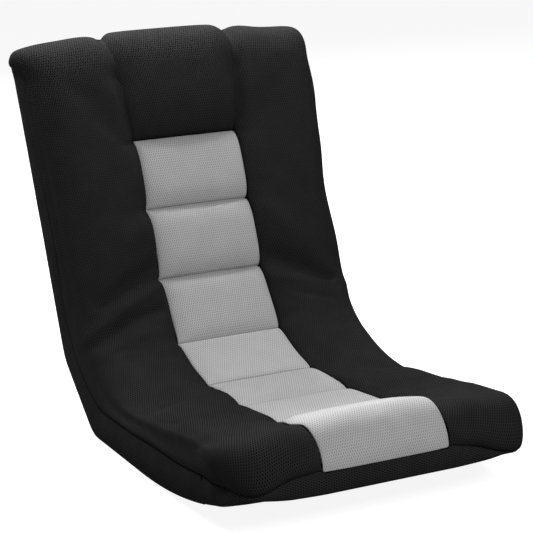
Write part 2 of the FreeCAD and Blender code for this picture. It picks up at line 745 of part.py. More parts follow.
def tray_of(name, slab, rim, lip, width):
    """A slab with a rim at each side and a lip at its end."""
    floor = extruded(name + "_slab", slab.wire(), width)
    end = extruded(name + "_lip", lip.wire(), width)
    rims = extruded(name + "_rims", rim.wire(), width)
    hollow = extruded(name + "_hollow", rim.wire(), "2 * (sizes.rail_place + sizes.tube_radius"
                      " + sizes.rivet_head + sizes.soft_gap)")
    return joined(name + "_tray", [floor, end, cut(name + "_sides", rims, hollow)])


def covers():
    """The cover's underside, rear and bands."""
    skin = size.cover_thickness
    front = -size.base_reach
    low = size.seat_low_cut_angle
    sole = under_seat(Outline(rocker_at(front, 0)), 0).to(heel_meets(low, 0, skin))
    sole = under_seat_back(sole, skin).turn(ROCKER, rocker_at(front, skin), -1)
    sole = extruded("sole", sole.wire(), "sizes.chair_width")
    keep(common("seat_sole", [sole, seat_plan("sole_plan", 0)]), "seat_sole")

    rear = rear_up(Outline(heel_meets(size.back_low_cut_angle, 0, 0)), 0)
    rear = rear_down(rear.to(top_at(size.back_thickness - skin)), skin)
    rear = extruded("rear", rear.wire(), "sizes.chair_width")
    keep(common("back_rear_cover", [rear, back_plan("rear_plan", 0)]), "back_rear_cover")

    lift = skin + size.soft_gap
    seam_top = rocker_at(-size.band_split, size.band_height)
    band = under_seat(Outline(rocker_at(-size.band_split, lift)), lift)
    band.to(side(heel_meets(low, 0, lift).y, size.band_height), side(ROCKER.y, size.band_height))
    band.turn(ROCKER, seam_top, -1)
    band = extruded("seat_band_slab", band.wire(), "sizes.chair_width + 2 * sizes.overrun")
    ring = cut("seat_ring", seat_plan("ring_outer", 0), seat_plan("ring_inner", skin))
    beyond = size.chair_width
    outside = box("seat_band_side", Vector(0, -beyond, -beyond), Vector(beyond, beyond, beyond))
    both_sides("seat_side_band", common("seat_band", [ring, band, outside]))

    start = -size.band_split - size.soft_gap
    end = front - size.overrun
    front_band = Outline(rocker_at(end, lift)).turn(ROCKER, rocker_at(start, lift), 1)
    front_band.to(rocker_at(start, size.band_height), side(front, SPLIT.z), side(end, SPLIT.z))
    front_band = extruded("front_band_slab", front_band.wire(), "sizes.chair_width + 2 * sizes.overrun")
    ring = cut("front_ring", seat_plan("front_outer", 0), seat_plan("front_inner", skin))
    keep(common("front_band", [ring, front_band]), "seat_front_band")

    deep = size.back_thickness
    foot = heel_meets(size.back_low_cut_angle, 0, lift)
    band = rear_up(Outline(foot), lift).to(top_at(deep - size.back_band_width))
    inner = BACK_FOOT + TO_REAR * (deep - size.back_band_width)
    band.to(meet(inner, UP_BACK, foot, left_of(UP_HEEL)))
    band = extruded("back_band_slab", band.wire(), "sizes.chair_width + 2 * sizes.overrun")
    ring = cut("back_ring", back_plan("back_outer", 0), back_plan("back_inner", skin))
    outside = box("back_band_side", Vector(0, -beyond, -beyond), Vector(beyond, beyond, 2 * beyond))
    both_sides("back_side_band", common("back_band", [ring, band, outside]))


# Hinge plates

def sketch_on(body, name):
    plane = [item for item in body.Origin.OriginFeatures if item.Role == "YZ_Plane"][0]
    sketch = body.newObject("Sketcher::SketchObject", name)
    sketch.AttachmentSupport = [(plane, "")]
    sketch.MapMode = "FlatFace"
    return sketch


def rule(sketch, name, expression, kind, *places):
    """A named dimension bound to the sheet. Its first value comes from the expression."""
    value = plain(sketch.evalExpression(expression))
    index = sketch.addConstraint(Sketcher.Constraint(kind, *places, value))
    sketch.renameConstraint(index, name)
    sketch.setExpression("Constraints." + name, expression)


def hole(sketch, name, radius_rule, x_rule, y_rule):
    """A hole, placed by rules along and across the plate."""
    x, y, radius = (plain(sketch.evalExpression(r)) for r in (x_rule, y_rule, radius_rule))
    index = sketch.addGeometry(Part.Circle(Vector(x, y, 0), Vector(0, 0, 1), radius), False)
    rule(sketch, name + "_radius", radius_rule, "Radius", index)
    rule(sketch, name + "_along", x_rule, "DistanceX", -1, 1, index, 3)
    rule(sketch, name + "_across", y_rule, "DistanceY", -1, 1, index, 3)


def padded_plate(body, sketch, thickness_rule):
    pad = body.newObject("PartDesign::Pad", body.Name + "_pad")
    pad.Profile = sketch
    pad.SideType = "Symmetric"
    pad.setExpression("Length", thickness_rule)
    return pad


def link(name, reach_rule, hub_rule, tip_rule, thickness_rule, holes):
    """A plate of two round ends and two tangent sides, its hub at the origin."""
    body = doc.addObject("PartDesign::Body", name)
    sketch = sketch_on(body, name + "_sketch")
    reach, hub, tip = (plain(sketch.evalExpression(r)) for r in (reach_rule, hub_rule, tip_rule))
    lean = math.asin((hub - tip) / reach)
    up = math.pi / 2 - lean
    z = Vector(0, 0, 1)
    at_tip = Vector(reach, 0, 0)
    turn = Vector(math.cos(up), math.sin(up), 0)
    under = Vector(turn.x, -turn.y, 0)
    a = sketch.addGeometry(Part.ArcOfCircle(Part.Circle(Vector(), z, hub), up, 2 * math.pi - up), False)
    b = sketch.addGeometry(Part.ArcOfCircle(Part.Circle(at_tip, z, tip), -up, up), False)
    c = sketch.addGeometry(Part.LineSegment(turn * hub, at_tip + turn * tip), False)
    d = sketch.addGeometry(Part.LineSegment(under * hub, at_tip + under * tip), False)
    sketch.addConstraint([Sketcher.Constraint("Tangent", a, 1, c, 1),
                          Sketcher.Constraint("Tangent", b, 2, c, 2),
                          Sketcher.Constraint("Tangent", a, 2, d, 1),
                          Sketcher.Constraint("Tangent", b, 1, d, 2),
                          Sketcher.Constraint("Coincident", a, 3, -1, 1),
                          Sketcher.Constraint("PointOnObject", b, 3, -1)])
    rule(sketch, "hub_radius", hub_rule, "Radius", a)
    rule(sketch, "tip_radius", tip_rule, "Radius", b)
    rule(sketch, "reach", reach_rule, "DistanceX", -1, 1, b, 3)
    for label, radius_rule, x_rule, y_rule in holes:
        hole(sketch, label, radius_rule, x_rule, y_rule)
    padded_plate(body, sketch, thickness_rule)
    return body


def tang_sketch(body, name, start_rule, end_rule):
    """A rectangle along the plate, from one distance to another."""
    sketch = sketch_on(body, name)
    start, end = (plain(sketch.evalExpression(r)) for r in (start_rule, end_rule))
    half = size.tang_half_height
    corners = [Vector(start, -half, 0), Vector(end, -half, 0), Vector(end, half, 0),
               Vector(start, half, 0)]
    lines = [sketch.addGeometry(Part.LineSegment(corners[i], corners[(i + 1) % 4]), False)
             for i in range(4)]
    for i in range(4):
        sketch.addConstraint(Sketcher.Constraint("Coincident", lines[i], 2, lines[(i + 1) % 4], 1))
        sketch.addConstraint(Sketcher.Constraint(("Horizontal", "Vertical")[i % 2], lines[i]))
    rule(sketch, "start", start_rule, "DistanceX", -1, 1, lines[0], 1)
    rule(sketch, "finish", end_rule, "DistanceX", -1, 1, lines[0], 2)
    rule(sketch, "under", "sizes.tang_half_height", "DistanceY", lines[0], 1, -1, 1)
    rule(sketch, "over", "sizes.tang_half_height", "DistanceY", -1, 1, lines[2], 1)
    return sketch


def place_plate(body, way_angle, x):
    body.Placement = Placement(HINGE + ACROSS * x, Rotation(ACROSS, way_angle))


def plate_point(way_angle, along, across=0.0):
    """A point of a plate in the side plane."""
    return HINGE + heading(way_angle) * along + left_of(heading(way_angle)) * across


# Fixing rivets sit at these shares of the stretch that they hold
PAIR_SHARES = (0.25, 0.75)
CHEEK_HOLD = ("sizes.seat_tang_start + (sizes.cheek_reach + sizes.cheek_end_radius"
              " - sizes.seat_tang_start) * {}")
SEAT_HOLD = "sizes.seat_tube_start + (sizes.seat_tang_end - sizes.seat_tube_start) * {}"
BACK_HOLD = "sizes.back_tube_start + (sizes.back_tang_end - sizes.back_tube_start) * {}"


def along_of(text, share):
    return plain(sheet.evalExpression(text.format(share)))


def rivet(name, radius_rule, head_rule, length_rule, place):
    """A rivet along X through plates of a length, with a head at each end."""
    shank = shaft(name + "_shank", radius_rule, length_rule, place)
    reach = ACROSS * (plain(shank.evalExpression(length_rule)) / 2 + size.rivet_head / 2)
    heads = [shaft(f"{name}_head_{i}", head_rule, "sizes.rivet_head", place + reach * way)
             for i, way in enumerate((-1, 1))]
    return joined(name, [shank] + heads)


STACK = "(sizes.arm_thickness + 2 * sizes.plate_gap + 2 * sizes.cheek_thickness)"


def seat_side_plates():
    pawl_line = ("pawl_pin", "sizes.pawl_pin_radius + sizes.running_gap", "sizes.pawl_place",
                 "-sizes.pawl_rise")
    fixings = [(f"fixing_{i}", "sizes.rivet_radius", CHEEK_HOLD.format(share), "0 mm")
               for i, share in enumerate(PAIR_SHARES)]
    holes = [("pivot", "sizes.pivot_radius", "0 mm", "0 mm"), pawl_line] + fixings
    offset = size.arm_thickness / 2 + size.plate_gap + size.cheek_thickness / 2
    for label, shift in (("hinge_outer_cheek", offset), ("hinge_inner_cheek", -offset)):
        plate = link(label, "sizes.cheek_reach", "sizes.cheek_radius", "sizes.cheek_end_radius",
                     "sizes.cheek_thickness", holes)
        place_plate(plate, size.seat_strap_angle, size.rail_place + shift)
        both_sides(label, plate)
    tang = doc.addObject("PartDesign::Body", "seat_tang")
    sketch = tang_sketch(tang, "seat_tang_sketch", "sizes.seat_tang_start", "sizes.seat_tang_end")
    for label, radius_rule, x_rule, y_rule in fixings:
        hole(sketch, label, radius_rule, x_rule, y_rule)
    for i, share in enumerate(PAIR_SHARES):
        hole(sketch, f"tube_rivet_{i}", "sizes.rivet_radius", SEAT_HOLD.format(share), "0 mm")
    padded_plate(tang, sketch, "sizes.arm_thickness + 2 * sizes.plate_gap")
    place_plate(tang, size.seat_strap_angle, size.rail_place)
    both_sides("hinge_seat_tang", tang)


def back_arm():
    """The toothed disc and the tang that holds the back tube."""
    body = doc.addObject("PartDesign::Body", "back_arm")
    disc = sketch_on(body, "disc_sketch")
    hole_rule = "sizes.pivot_radius + sizes.running_gap"
    index = disc.addGeometry(Part.Circle(Vector(), Vector(0, 0, 1), size.arm_radius), False)
    disc.addConstraint(Sketcher.Constraint("Coincident", index, 3, -1, 1))
    rule(disc, "disc_radius", "sizes.arm_radius", "Radius", index)
    hole(disc, "pivot", hole_rule, "0 mm", "0 mm")
    padded_plate(body, disc, "sizes.arm_thickness")
    strap = tang_sketch(body, "arm_sketch", "sizes.arm_radius / 2", "sizes.back_tang_end")
    for i, share in enumerate(PAIR_SHARES):
        hole(strap, f"tube_rivet_{i}", "sizes.rivet_radius", BACK_HOLD.format(share), "0 mm")
    pad = body.newObject("PartDesign::Pad", "arm_tang")
    pad.Profile = strap
    pad.SideType = "Symmetric"
    pad.setExpression("Length", "sizes.arm_thickness")
    notch = sketch_on(body, "notch_sketch")
    notch.AttachmentOffset = Placement(Vector(), Rotation(Vector(0, 0, 1), size.tooth_start_angle))
    notch.setExpression("AttachmentOffset.Rotation.Angle", "sizes.tooth_start_angle")
    pitch = math.radians(size.tooth_span_angle / (size.tooth_count - 1))
    root, out = size.arm_radius - size.tooth_depth, size.arm_radius + size.tooth_depth
    wide = size.arm_radius * pitch * size.tooth_fill_share
    corners = [Vector(root, 0, 0), Vector(out, 0, 0), Vector(out, wide, 0)]
    lines = [notch.addGeometry(Part.LineSegment(corners[i], corners[(i + 1) % 3]), False)
             for i in range(3)]
    for i in range(3):
        notch.addConstraint(Sketcher.Constraint("Coincident", lines[i], 2, lines[(i + 1) % 3], 1))
    notch.addConstraint([Sketcher.Constraint("PointOnObject", lines[0], 1, -1),
                         Sketcher.Constraint("PointOnObject", lines[0], 2, -1),
                         Sketcher.Constraint("Vertical", lines[1])])
    rule(notch, "root", "sizes.arm_radius - sizes.tooth_depth", "DistanceX", -1, 1, lines[0], 1)
    rule(notch, "mouth", "sizes.arm_radius + sizes.tooth_depth", "DistanceX", -1, 1, lines[0], 2)
    rule(notch, "opening", "sizes.arm_radius * sizes.tooth_span_angle / (sizes.tooth_count - 1)"
         " * pi / 180 * sizes.tooth_fill_share", "DistanceY", lines[1], 1, lines[1], 2)
    doc.recompute()
    pocket = body.newObject("PartDesign::Pocket", "notch")
    pocket.Profile = notch
    pocket.Type = "ThroughAll"
    pocket.SideType = "Symmetric"
    teeth = body.newObject("PartDesign::PolarPattern", "teeth")
    teeth.Originals = [pocket]
    axis = [item for item in body.Origin.OriginFeatures if item.Role == "X_Axis"][0]
    teeth.Axis = (axis, [""])
    teeth.setExpression("Angle", "sizes.tooth_span_angle")
    teeth.setExpression("Occurrences", "sizes.tooth_count")
    body.Tip = teeth
    place_plate(body, BACK_STRAP_ANGLE, size.rail_place)
    both_sides("hinge_back_arm", body)


def pawl_set():
    """A pawl on its pin, its nose just clear of the teeth, and the leaf that presses it."""
    pin = plate_point(size.seat_strap_angle, size.pawl_place, -size.pawl_rise)
    reach = size.arm_radius + size.pawl_clearance + size.pawl_tip_radius
    tip = HINGE + heading(size.seat_strap_angle + size.pawl_tip_angle) * reach
    lever = tip - pin
    angle = math.degrees(math.atan2(lever.z, lever.y))
    sheet.set("D2", f"{lever.Length:.6f}")
    sheet.setAlias("D2", "pawl_reach")
    doc.recompute()
    pawl = link("pawl", "sizes.pawl_reach", "sizes.pawl_hub_radius", "sizes.pawl_tip_radius",
                "sizes.arm_thickness",
                [("pin", "sizes.pawl_pin_radius + sizes.running_gap", "0 mm", "0 mm")])
    pawl.Placement = Placement(pin + ACROSS * size.rail_place, Rotation(ACROSS, angle))
    both_sides("pawl", pawl)
    pin_body = rivet("pawl_pin", "sizes.pawl_pin_radius", "sizes.rivet_head_radius", STACK,
                     pin + ACROSS * size.rail_place)
    both_sides("pawl_pin", pin_body)
    touch = size.pawl_tip_radius + size.soft_gap + size.leaf_thickness / 2
    way = heading(size.seat_strap_angle)
    start = tip + left_of(way) * touch - way * size.pawl_tip_radius
    end = plate_point(size.seat_strap_angle, size.seat_tang_start - size.running_gap,
                      size.tang_half_height - size.leaf_thickness)
    span = end - start
    leaf = doc.addObject("Part::Box", "pawl_leaf")
    leaf.setExpression("Length", "sizes.leaf_width")
    leaf.setExpression("Height", "sizes.leaf_thickness")
    leaf.Width = span.Length
    lean = math.degrees(math.atan2(span.z, span.y))
    corner = start - left_of(span.normalize()) * (size.leaf_thickness / 2)
    leaf.Placement = Placement(corner + ACROSS * (size.rail_place - size.leaf_width / 2),
                               Rotation(ACROSS, lean))
    both_sides("pawl_spring", leaf)


def rivets():
    rail = ACROSS * size.rail_place
    pivot = rivet("pivot_rivet", "sizes.pivot_radius", "sizes.pivot_head_radius", STACK, HINGE + rail)
    both_sides("hinge_pivot", pivot)
    for label, hold, way, length in (
            ("cheek_rivets", CHEEK_HOLD, size.seat_strap_angle, STACK),
            ("seat_tube_rivets", SEAT_HOLD, size.seat_strap_angle, "2 * sizes.tube_radius"),
            ("back_tube_rivets", BACK_HOLD, BACK_STRAP_ANGLE, "2 * sizes.tube_radius")):
        ones = []
        for i, share in enumerate(PAIR_SHARES):
            spot = plate_point(way, along_of(hold, share))
            for part, sign in (("right", 1), ("left", -1)):
                ones.append(rivet(f"{label}_{part}_{i}", "sizes.rivet_radius",
                                  "sizes.rivet_head_radius", length, spot + rail * sign))
        keep(group(label, ones), label)


# Frame

def pipe(path, radius):
    """A solid bar along a path of lines and arcs."""
    start = path.Edges[0].firstVertex().Point
    first = path.Edges[0]
    way = first.tangentAt(first.FirstParameter)
    ring = Part.Wire(Part.Circle(start, way, radius).toShape())
    return path.makePipeShell([ring], True, False)


def tube(path, radius, wall):
    return pipe(path, radius).cut(pipe(path, radius - wall))


def mirror_points(points):
    return [Vector(-p.x, p.y, p.z) for p in points]


def frame_path(half):
    """The right half of a frame's path, carried to the left and joined across."""
    edges = [Part.Arc(*p).toShape() if len(p) == 3 else Part.LineSegment(*p).toShape() for p in half]
    end = half[-1][-1]
    edges.append(Part.LineSegment(end, Vector(-end.x, end.y, end.z)).toShape())
    for p in reversed(half):
        q = mirror_points(p)[::-1]
        edges.append(Part.Arc(*q).toShape() if len(q) == 3 else Part.LineSegment(*q).toShape())
    return Part.Wire(edges)


def corner_points(start, way, radius):
    """A quarter turn from a side tube towards the middle of the chair."""
    centre = start - ACROSS * radius
    share = math.sqrt(0.5)
    return (start, centre + (ACROSS + way) * (radius * share), centre + way * radius)


def rivet_holes(shape, hold, way):
    """Cuts the fixing rivets' holes through a frame tube."""
    for share in PAIR_SHARES:
        spot = plate_point(way, along_of(hold, share))
        for sign in (1, -1):
            low = spot + ACROSS * (sign * size.rail_place - size.overrun)
            shape = shape.cut(Part.makeCylinder(size.rivet_radius, 2 * size.overrun, low, ACROSS))
    return shape


def bend_points(a, corner, b, radius):
    """The three points of a bend between two straight runs."""
    come, leave = (corner - a).normalize(), (b - corner).normalize()
    half = come.getAngle(leave) / 2
    tangent = radius * math.tan(half)
    middle = corner + (leave - come).normalize() * (radius / math.cos(half) - radius)
    return corner - come * tangent, middle, corner + leave * tangent


def seat_path():
    """Middle line of the seat tube."""
    rail = ACROSS * size.rail_place
    radius = size.rocker_radius - TUBE_HEIGHT
    deep = FRONT_BAR_Y - ROCKER.y
    corner = size.tube_corner_radius
    lean = math.asin(-deep / math.hypot(radius, corner)) - math.atan2(corner, radius)
    rise = math.degrees(lean)
    end = ROCKER - heading(90 - rise) * radius
    middle = ROCKER - heading(90 - rise / 2) * radius
    start = plate_point(size.seat_strap_angle, size.seat_tube_start)
    flat = side(ROCKER.y, TUBE_HEIGHT)
    bend = meet(side(0, TUBE_HEIGHT), LEVEL, HINGE, SEAT_WAY)
    b0, b1, b2 = bend_points(start, bend, flat, size.tube_bend_radius)
    way = side(-math.cos(lean), math.sin(lean))
    half = [(start + rail, b0 + rail), (b0 + rail, b1 + rail, b2 + rail), (b2 + rail, flat + rail),
            (flat + rail, middle + rail, end + rail), corner_points(end + rail, way, corner)]
    return frame_path(half)


def seat_frame():
    shape = tube(seat_path(), size.tube_radius, size.tube_wall)
    keep(feature("seat_frame", rivet_holes(shape, SEAT_HOLD, size.seat_strap_angle)),
         "seat_frame_tube")


def back_frame():
    rail = ACROSS * size.rail_place
    start = plate_point(BACK_STRAP_ANGLE, size.back_tube_start)
    line = back_tube_place(0)
    bend = meet(line, UP_BACK, HINGE, BACK_WAY)
    top = top_at(size.back_tube_depth) - UP_BACK * (size.top_bar_drop + size.tube_corner_radius)
    b0, b1, b2 = bend_points(start, bend, top, size.tube_bend_radius)
    half = [(start + rail, b0 + rail), (b0 + rail, b1 + rail, b2 + rail), (b2 + rail, top + rail),
            corner_points(top + rail, UP_BACK, size.tube_corner_radius)]
    shape = tube(frame_path(half), size.tube_radius, size.tube_wall)
    keep(feature("back_frame", rivet_holes(shape, BACK_HOLD, BACK_STRAP_ANGLE)),
         "back_frame_tube")


def cross_bar(name, place):
    """A straight bar between the side tubes."""
    outer = shaft(name + "_outer", "sizes.bar_radius",
                  "2 * (sizes.rail_place - sizes.tube_radius - sizes.running_gap)", place)
    inner = shaft(name + "_bore", "sizes.bar_radius - sizes.bar_wall",
                  "2 * (sizes.rail_place + sizes.tube_radius)", place)
    keep(cut(name, outer, inner), name)


def zigzag(middle, way):
    """A wire spring across the chair, bent to and fro along way, its ends beside the tubes."""
    half = size.rail_place - size.tube_radius - size.wire_radius - size.wire_gap
    count = int(size.zigzag_count)
    pitch = 2 * half / count
    turn = pitch / 2
    reach = size.zigzag_width / 2 - turn
    edges = []
    x = -half
    sign = 1
    at = middle + ACROSS * x - way * (size.zigzag_width / 2)
    for i in range(count):
        straight = middle + ACROSS * x + way * (sign * reach)
        edges.append(Part.LineSegment(at, straight).toShape())
        crown = middle + ACROSS * (x + turn) + way * (sign * (reach + turn))
        x += pitch
        at = middle + ACROSS * x + way * (sign * reach)
        edges.append(Part.Arc(straight, crown, at).toShape())
        sign = -sign
    end = middle + ACROSS * x + way * (sign * size.zigzag_width / 2)
    edges.append(Part.LineSegment(at, end).toShape())
    return pipe(Part.Wire(edges), size.wire_radius)


def springs():
    seat_springs = []
    back_springs = []
    front = FRONT_BAR_Y + size.tube_radius
    back = -size.seat_bar_place - size.bar_radius
    step = (back - front) / size.seat_spring_count
    for i in range(int(size.seat_spring_count)):
        y = back - step * (i + 0.5)
        place = rocker_at(y, TUBE_HEIGHT) if y < ROCKER.y else side(y, TUBE_HEIGHT)
        way = left_of((ROCKER - place).normalize()) if y < ROCKER.y else LEVEL
        seat_springs.append(zigzag(place, way))
    low = back_tube_place(0) + UP_BACK * (size.back_bar_place + size.bar_radius)
    high = top_at(size.back_tube_depth) - UP_BACK * (size.top_bar_drop + size.tube_radius)
    step = (high - low) / size.back_spring_count
    for i in range(int(size.back_spring_count)):
        back_springs.append(zigzag(low + step * (i + 0.5), UP_BACK))
    keep(feature("seat_springs", Part.makeCompound(seat_springs)), "seat_zigzag_springs")
    keep(feature("back_springs", Part.makeCompound(back_springs)), "back_zigzag_springs")


padding()
lower_padding()
covers()
seat_side_plates()
back_arm()
pawl_set()
rivets()
seat_frame()
back_frame()
cross_bar("seat_cross_bar", side(-size.seat_bar_place, TUBE_HEIGHT))
cross_bar("back_cross_bar", back_tube_place(0) + UP_BACK * size.back_bar_place)
springs()
doc.recompute()

faults = []
for thing in doc.Objects:
    if "Invalid" in thing.State or "Error" in thing.State:
        faults.append(f"{thing.Name}: {thing.State}")
for label, thing in pieces:
    if thing.Shape.isNull() or not thing.Shape.isValid() or not thing.Shape.Solids:
        faults.append(f"{label}: no valid solid")
if faults:
    raise RuntimeError("; ".join(faults))

os.makedirs("parts", exist_ok=True)
for label, thing in pieces:
    thing.Shape.exportStep(f"parts/{label}.step")
    print(f"{label}: {len(thing.Shape.Solids)} solid, {thing.Shape.Volume / 1000:.1f} cm3")
print(f"{len(pieces)} sub-parts")
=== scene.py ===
import bpy
import bmesh
import cmath
import json
import math
import numpy as np
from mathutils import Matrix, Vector


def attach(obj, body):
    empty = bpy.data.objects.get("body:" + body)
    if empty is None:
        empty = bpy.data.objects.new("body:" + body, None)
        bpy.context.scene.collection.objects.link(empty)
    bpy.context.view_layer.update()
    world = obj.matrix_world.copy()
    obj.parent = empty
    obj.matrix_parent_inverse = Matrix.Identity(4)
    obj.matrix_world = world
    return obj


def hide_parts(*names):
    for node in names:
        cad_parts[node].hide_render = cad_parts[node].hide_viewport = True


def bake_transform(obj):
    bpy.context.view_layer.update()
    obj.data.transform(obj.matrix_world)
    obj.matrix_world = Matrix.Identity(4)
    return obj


# A legless floor chair in air mesh: a light centre panel sewn into sections between two black
# bolsters, a headrest, bands round the edge, a curved underside. Metres, X across the chair,
# Y from front to back, Z up. A point of the side plane is a complex number, y + z * 1j.

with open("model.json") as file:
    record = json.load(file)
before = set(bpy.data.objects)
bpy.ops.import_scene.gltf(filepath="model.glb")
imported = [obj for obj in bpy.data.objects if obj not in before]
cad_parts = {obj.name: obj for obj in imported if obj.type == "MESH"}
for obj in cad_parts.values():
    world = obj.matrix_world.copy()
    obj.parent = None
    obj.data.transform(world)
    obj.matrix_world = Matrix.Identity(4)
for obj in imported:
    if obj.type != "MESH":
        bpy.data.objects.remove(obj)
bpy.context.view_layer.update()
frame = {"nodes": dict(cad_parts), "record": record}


# Lines and curves

def heading(degrees):
    """A unit direction in the side plane."""
    return cmath.exp(1j * math.radians(degrees))


def dot(a, b):
    return (a * b.conjugate()).real


def near_hit(point, way, centre, radius):
    """Where a ray first meets a circle."""
    back = dot(point - centre, way)
    return point + way * (-back - math.sqrt(back ** 2 - abs(point - centre) ** 2 + radius ** 2))


def line(a, b, count):
    return [a + (b - a) * k / count for k in range(count)]


def arc(centre, a, b, count):
    sweep = cmath.phase((b - centre) / (a - centre))
    return [centre + (a - centre) * cmath.exp(1j * sweep * k / count) for k in range(count)]


def smooth(low, high, value):
    share = np.clip((np.asarray(value, float) - low) / (high - low), 0, 1)
    return share * share * (3 - 2 * share)


def rising(value, start, end, size):
    """A smooth step up to a size."""
    return size * smooth(start, end, value)


def hill(value, middle, width):
    return np.exp(-((np.asarray(value, float) - middle) / width) ** 2)


def hills(value, table):
    """The sum of hills, each given as its middle, width and height."""
    return sum(height * hill(value, middle, width) for middle, width, height in table)


def round_off(share):
    """How far an edge of radius 1 has fallen at a share of the way round it."""
    return 1 - np.sqrt(1 - np.clip(share, 0, 1) ** 2)


def even(points, count):
    """A polyline's points at even steps."""
    points = np.asarray(points, float)
    total = np.concatenate([[0], np.cumsum(np.linalg.norm(np.diff(points, axis=0), axis=1))])
    steps = np.linspace(0, total[-1], count)
    return np.stack([np.interp(steps, total, points[:, k]) for k in range(points.shape[1])], axis=1)


# Sizes of the chair, as its solids have them

HALF_WIDTH = 0.25
SEAT_LEVEL = 0.091
BACK_THICKNESS = 0.079
PATCH_FRONT = -0.085
ROCKER_RADIUS = 0.85
LEVEL_RADIUS = ROCKER_RADIUS - SEAT_LEVEL
BASE_FRONT = -0.416
SEAM_FRONT = -0.4135
NOSE_FRONT = -0.398
PELVIS_RADIUS = 0.212
SECTION = 0.118
HEAD_LENGTH = 0.17
PANEL_HALF = 0.095
SPAN = HALF_WIDTH - PANEL_HALF
BAND_SPLIT = -0.29
BAND_TOP = 0.084
TOP_DEPTH = 0.0327
BACK_ANGLE = 66.7
UP_BACK = heading(BACK_ANGLE)
REARWARD = UP_BACK * -1j
UP_HEEL = heading(40.2)
HEEL = 0.1015 + 0j
HINGE = 0.14 + 0.065j
ROCKER = complex(PATCH_FRONT, ROCKER_RADIUS)
PELVIS = complex(-0.0127, SEAT_LEVEL + PELVIS_RADIUS)
BACK_FOOT = PELVIS + REARWARD * PELVIS_RADIUS
HEAD_FOOT = BACK_FOOT + UP_BACK * 2 * SECTION
TOP = HEAD_FOOT + UP_BACK * HEAD_LENGTH
PELVIS_ARC = math.radians(BACK_ANGLE) * PELVIS_RADIUS
FLAT_END = PELVIS_ARC + (PELVIS.real - PATCH_FRONT)
LAST_SEAM = 4 * SECTION

# Radii of the rounded corners: the front's above and below, and the top's
CORNER_RADIUS = 0.055
LOW_CORNER = 0.068
TOP_CORNER = 0.010

JUST_UNDER = 1e-6
RIGHT, LEFT = 1, -1
SIDES = {"right": RIGHT, "left": LEFT}


# The sewn level and the bolsters' lines in the side plane

def level_at(s):
    """The sewn level and its outward normal, by the distance from the back's foot."""
    if s <= 0:
        return BACK_FOOT - UP_BACK * s, -REARWARD
    if s <= PELVIS_ARC:
        way = heading(BACK_ANGLE - math.degrees(s / PELVIS_RADIUS))
        return PELVIS - way * 1j * PELVIS_RADIUS, way * 1j
    if s <= FLAT_END:
        return complex(PELVIS.real - (s - PELVIS_ARC), SEAT_LEVEL), 1j
    way = heading(-math.degrees((s - FLAT_END) / LEVEL_RADIUS))
    return ROCKER - way * 1j * LEVEL_RADIUS, way * 1j


def under_at(y):
    """Height of the underside at a distance from the origin."""
    reach = np.minimum(np.asarray(y, float) - PATCH_FRONT, 0)
    return ROCKER_RADIUS - np.sqrt(ROCKER_RADIUS ** 2 - reach ** 2)


# Rows of every bolster: counts of steps along its stretches
ROWS = {"edge": 2, "round": 9, "back": 62, "pelvis": 25, "bend": 20, "flat": 13, "rocker": 49,
        "nose": 13, "front": 6}
TOP_ROW = ROWS["edge"] + ROWS["round"]

NOSE_DEPTH = 0.072
NOSE_PULL_SHARE = 0.55
NOSE_BULGE = 0.014
TIP_LIFT = 0.012
END_RISE_SHARE = 0.3
SEAT_RISE_SHARE = 0.32
TOP_RING_SHARE = 0.95
CROWN_BEND = 5
BEND_ANGLE = 133
BEND_END = 0.02


def nose(pivot, reach, front, foot):
    """A front's round edge, from the arc about the pivot down to its foremost point."""
    y = front + NOSE_DEPTH
    crest = complex(y, pivot.imag - math.sqrt(reach ** 2 - (y - pivot.real) ** 2))
    tip = complex(front, foot)
    way = (pivot - crest) / reach * 1j
    a = crest + way * (NOSE_PULL_SHARE * NOSE_DEPTH)
    b = tip + 1j * (NOSE_PULL_SHARE * (crest.imag - foot))
    steps = np.arange(ROWS["nose"]) / ROWS["nose"]
    rest = 1 - steps
    run = rest ** 3 * crest + 3 * rest ** 2 * steps * a + 3 * rest * steps ** 2 * b + steps ** 3 * tip
    return crest, list(run), tip


def tuck(tip, seam, count):
    """From the foremost point of a front down and in to the band's seam."""
    turns = math.pi / 2 * np.sin(np.linspace(0, math.pi / 2, count + 1)[1:])
    return [complex(seam.real + (tip.real - seam.real) * math.cos(t),
                    tip.imag + (seam.imag - tip.imag) * math.sin(t)) for t in turns]


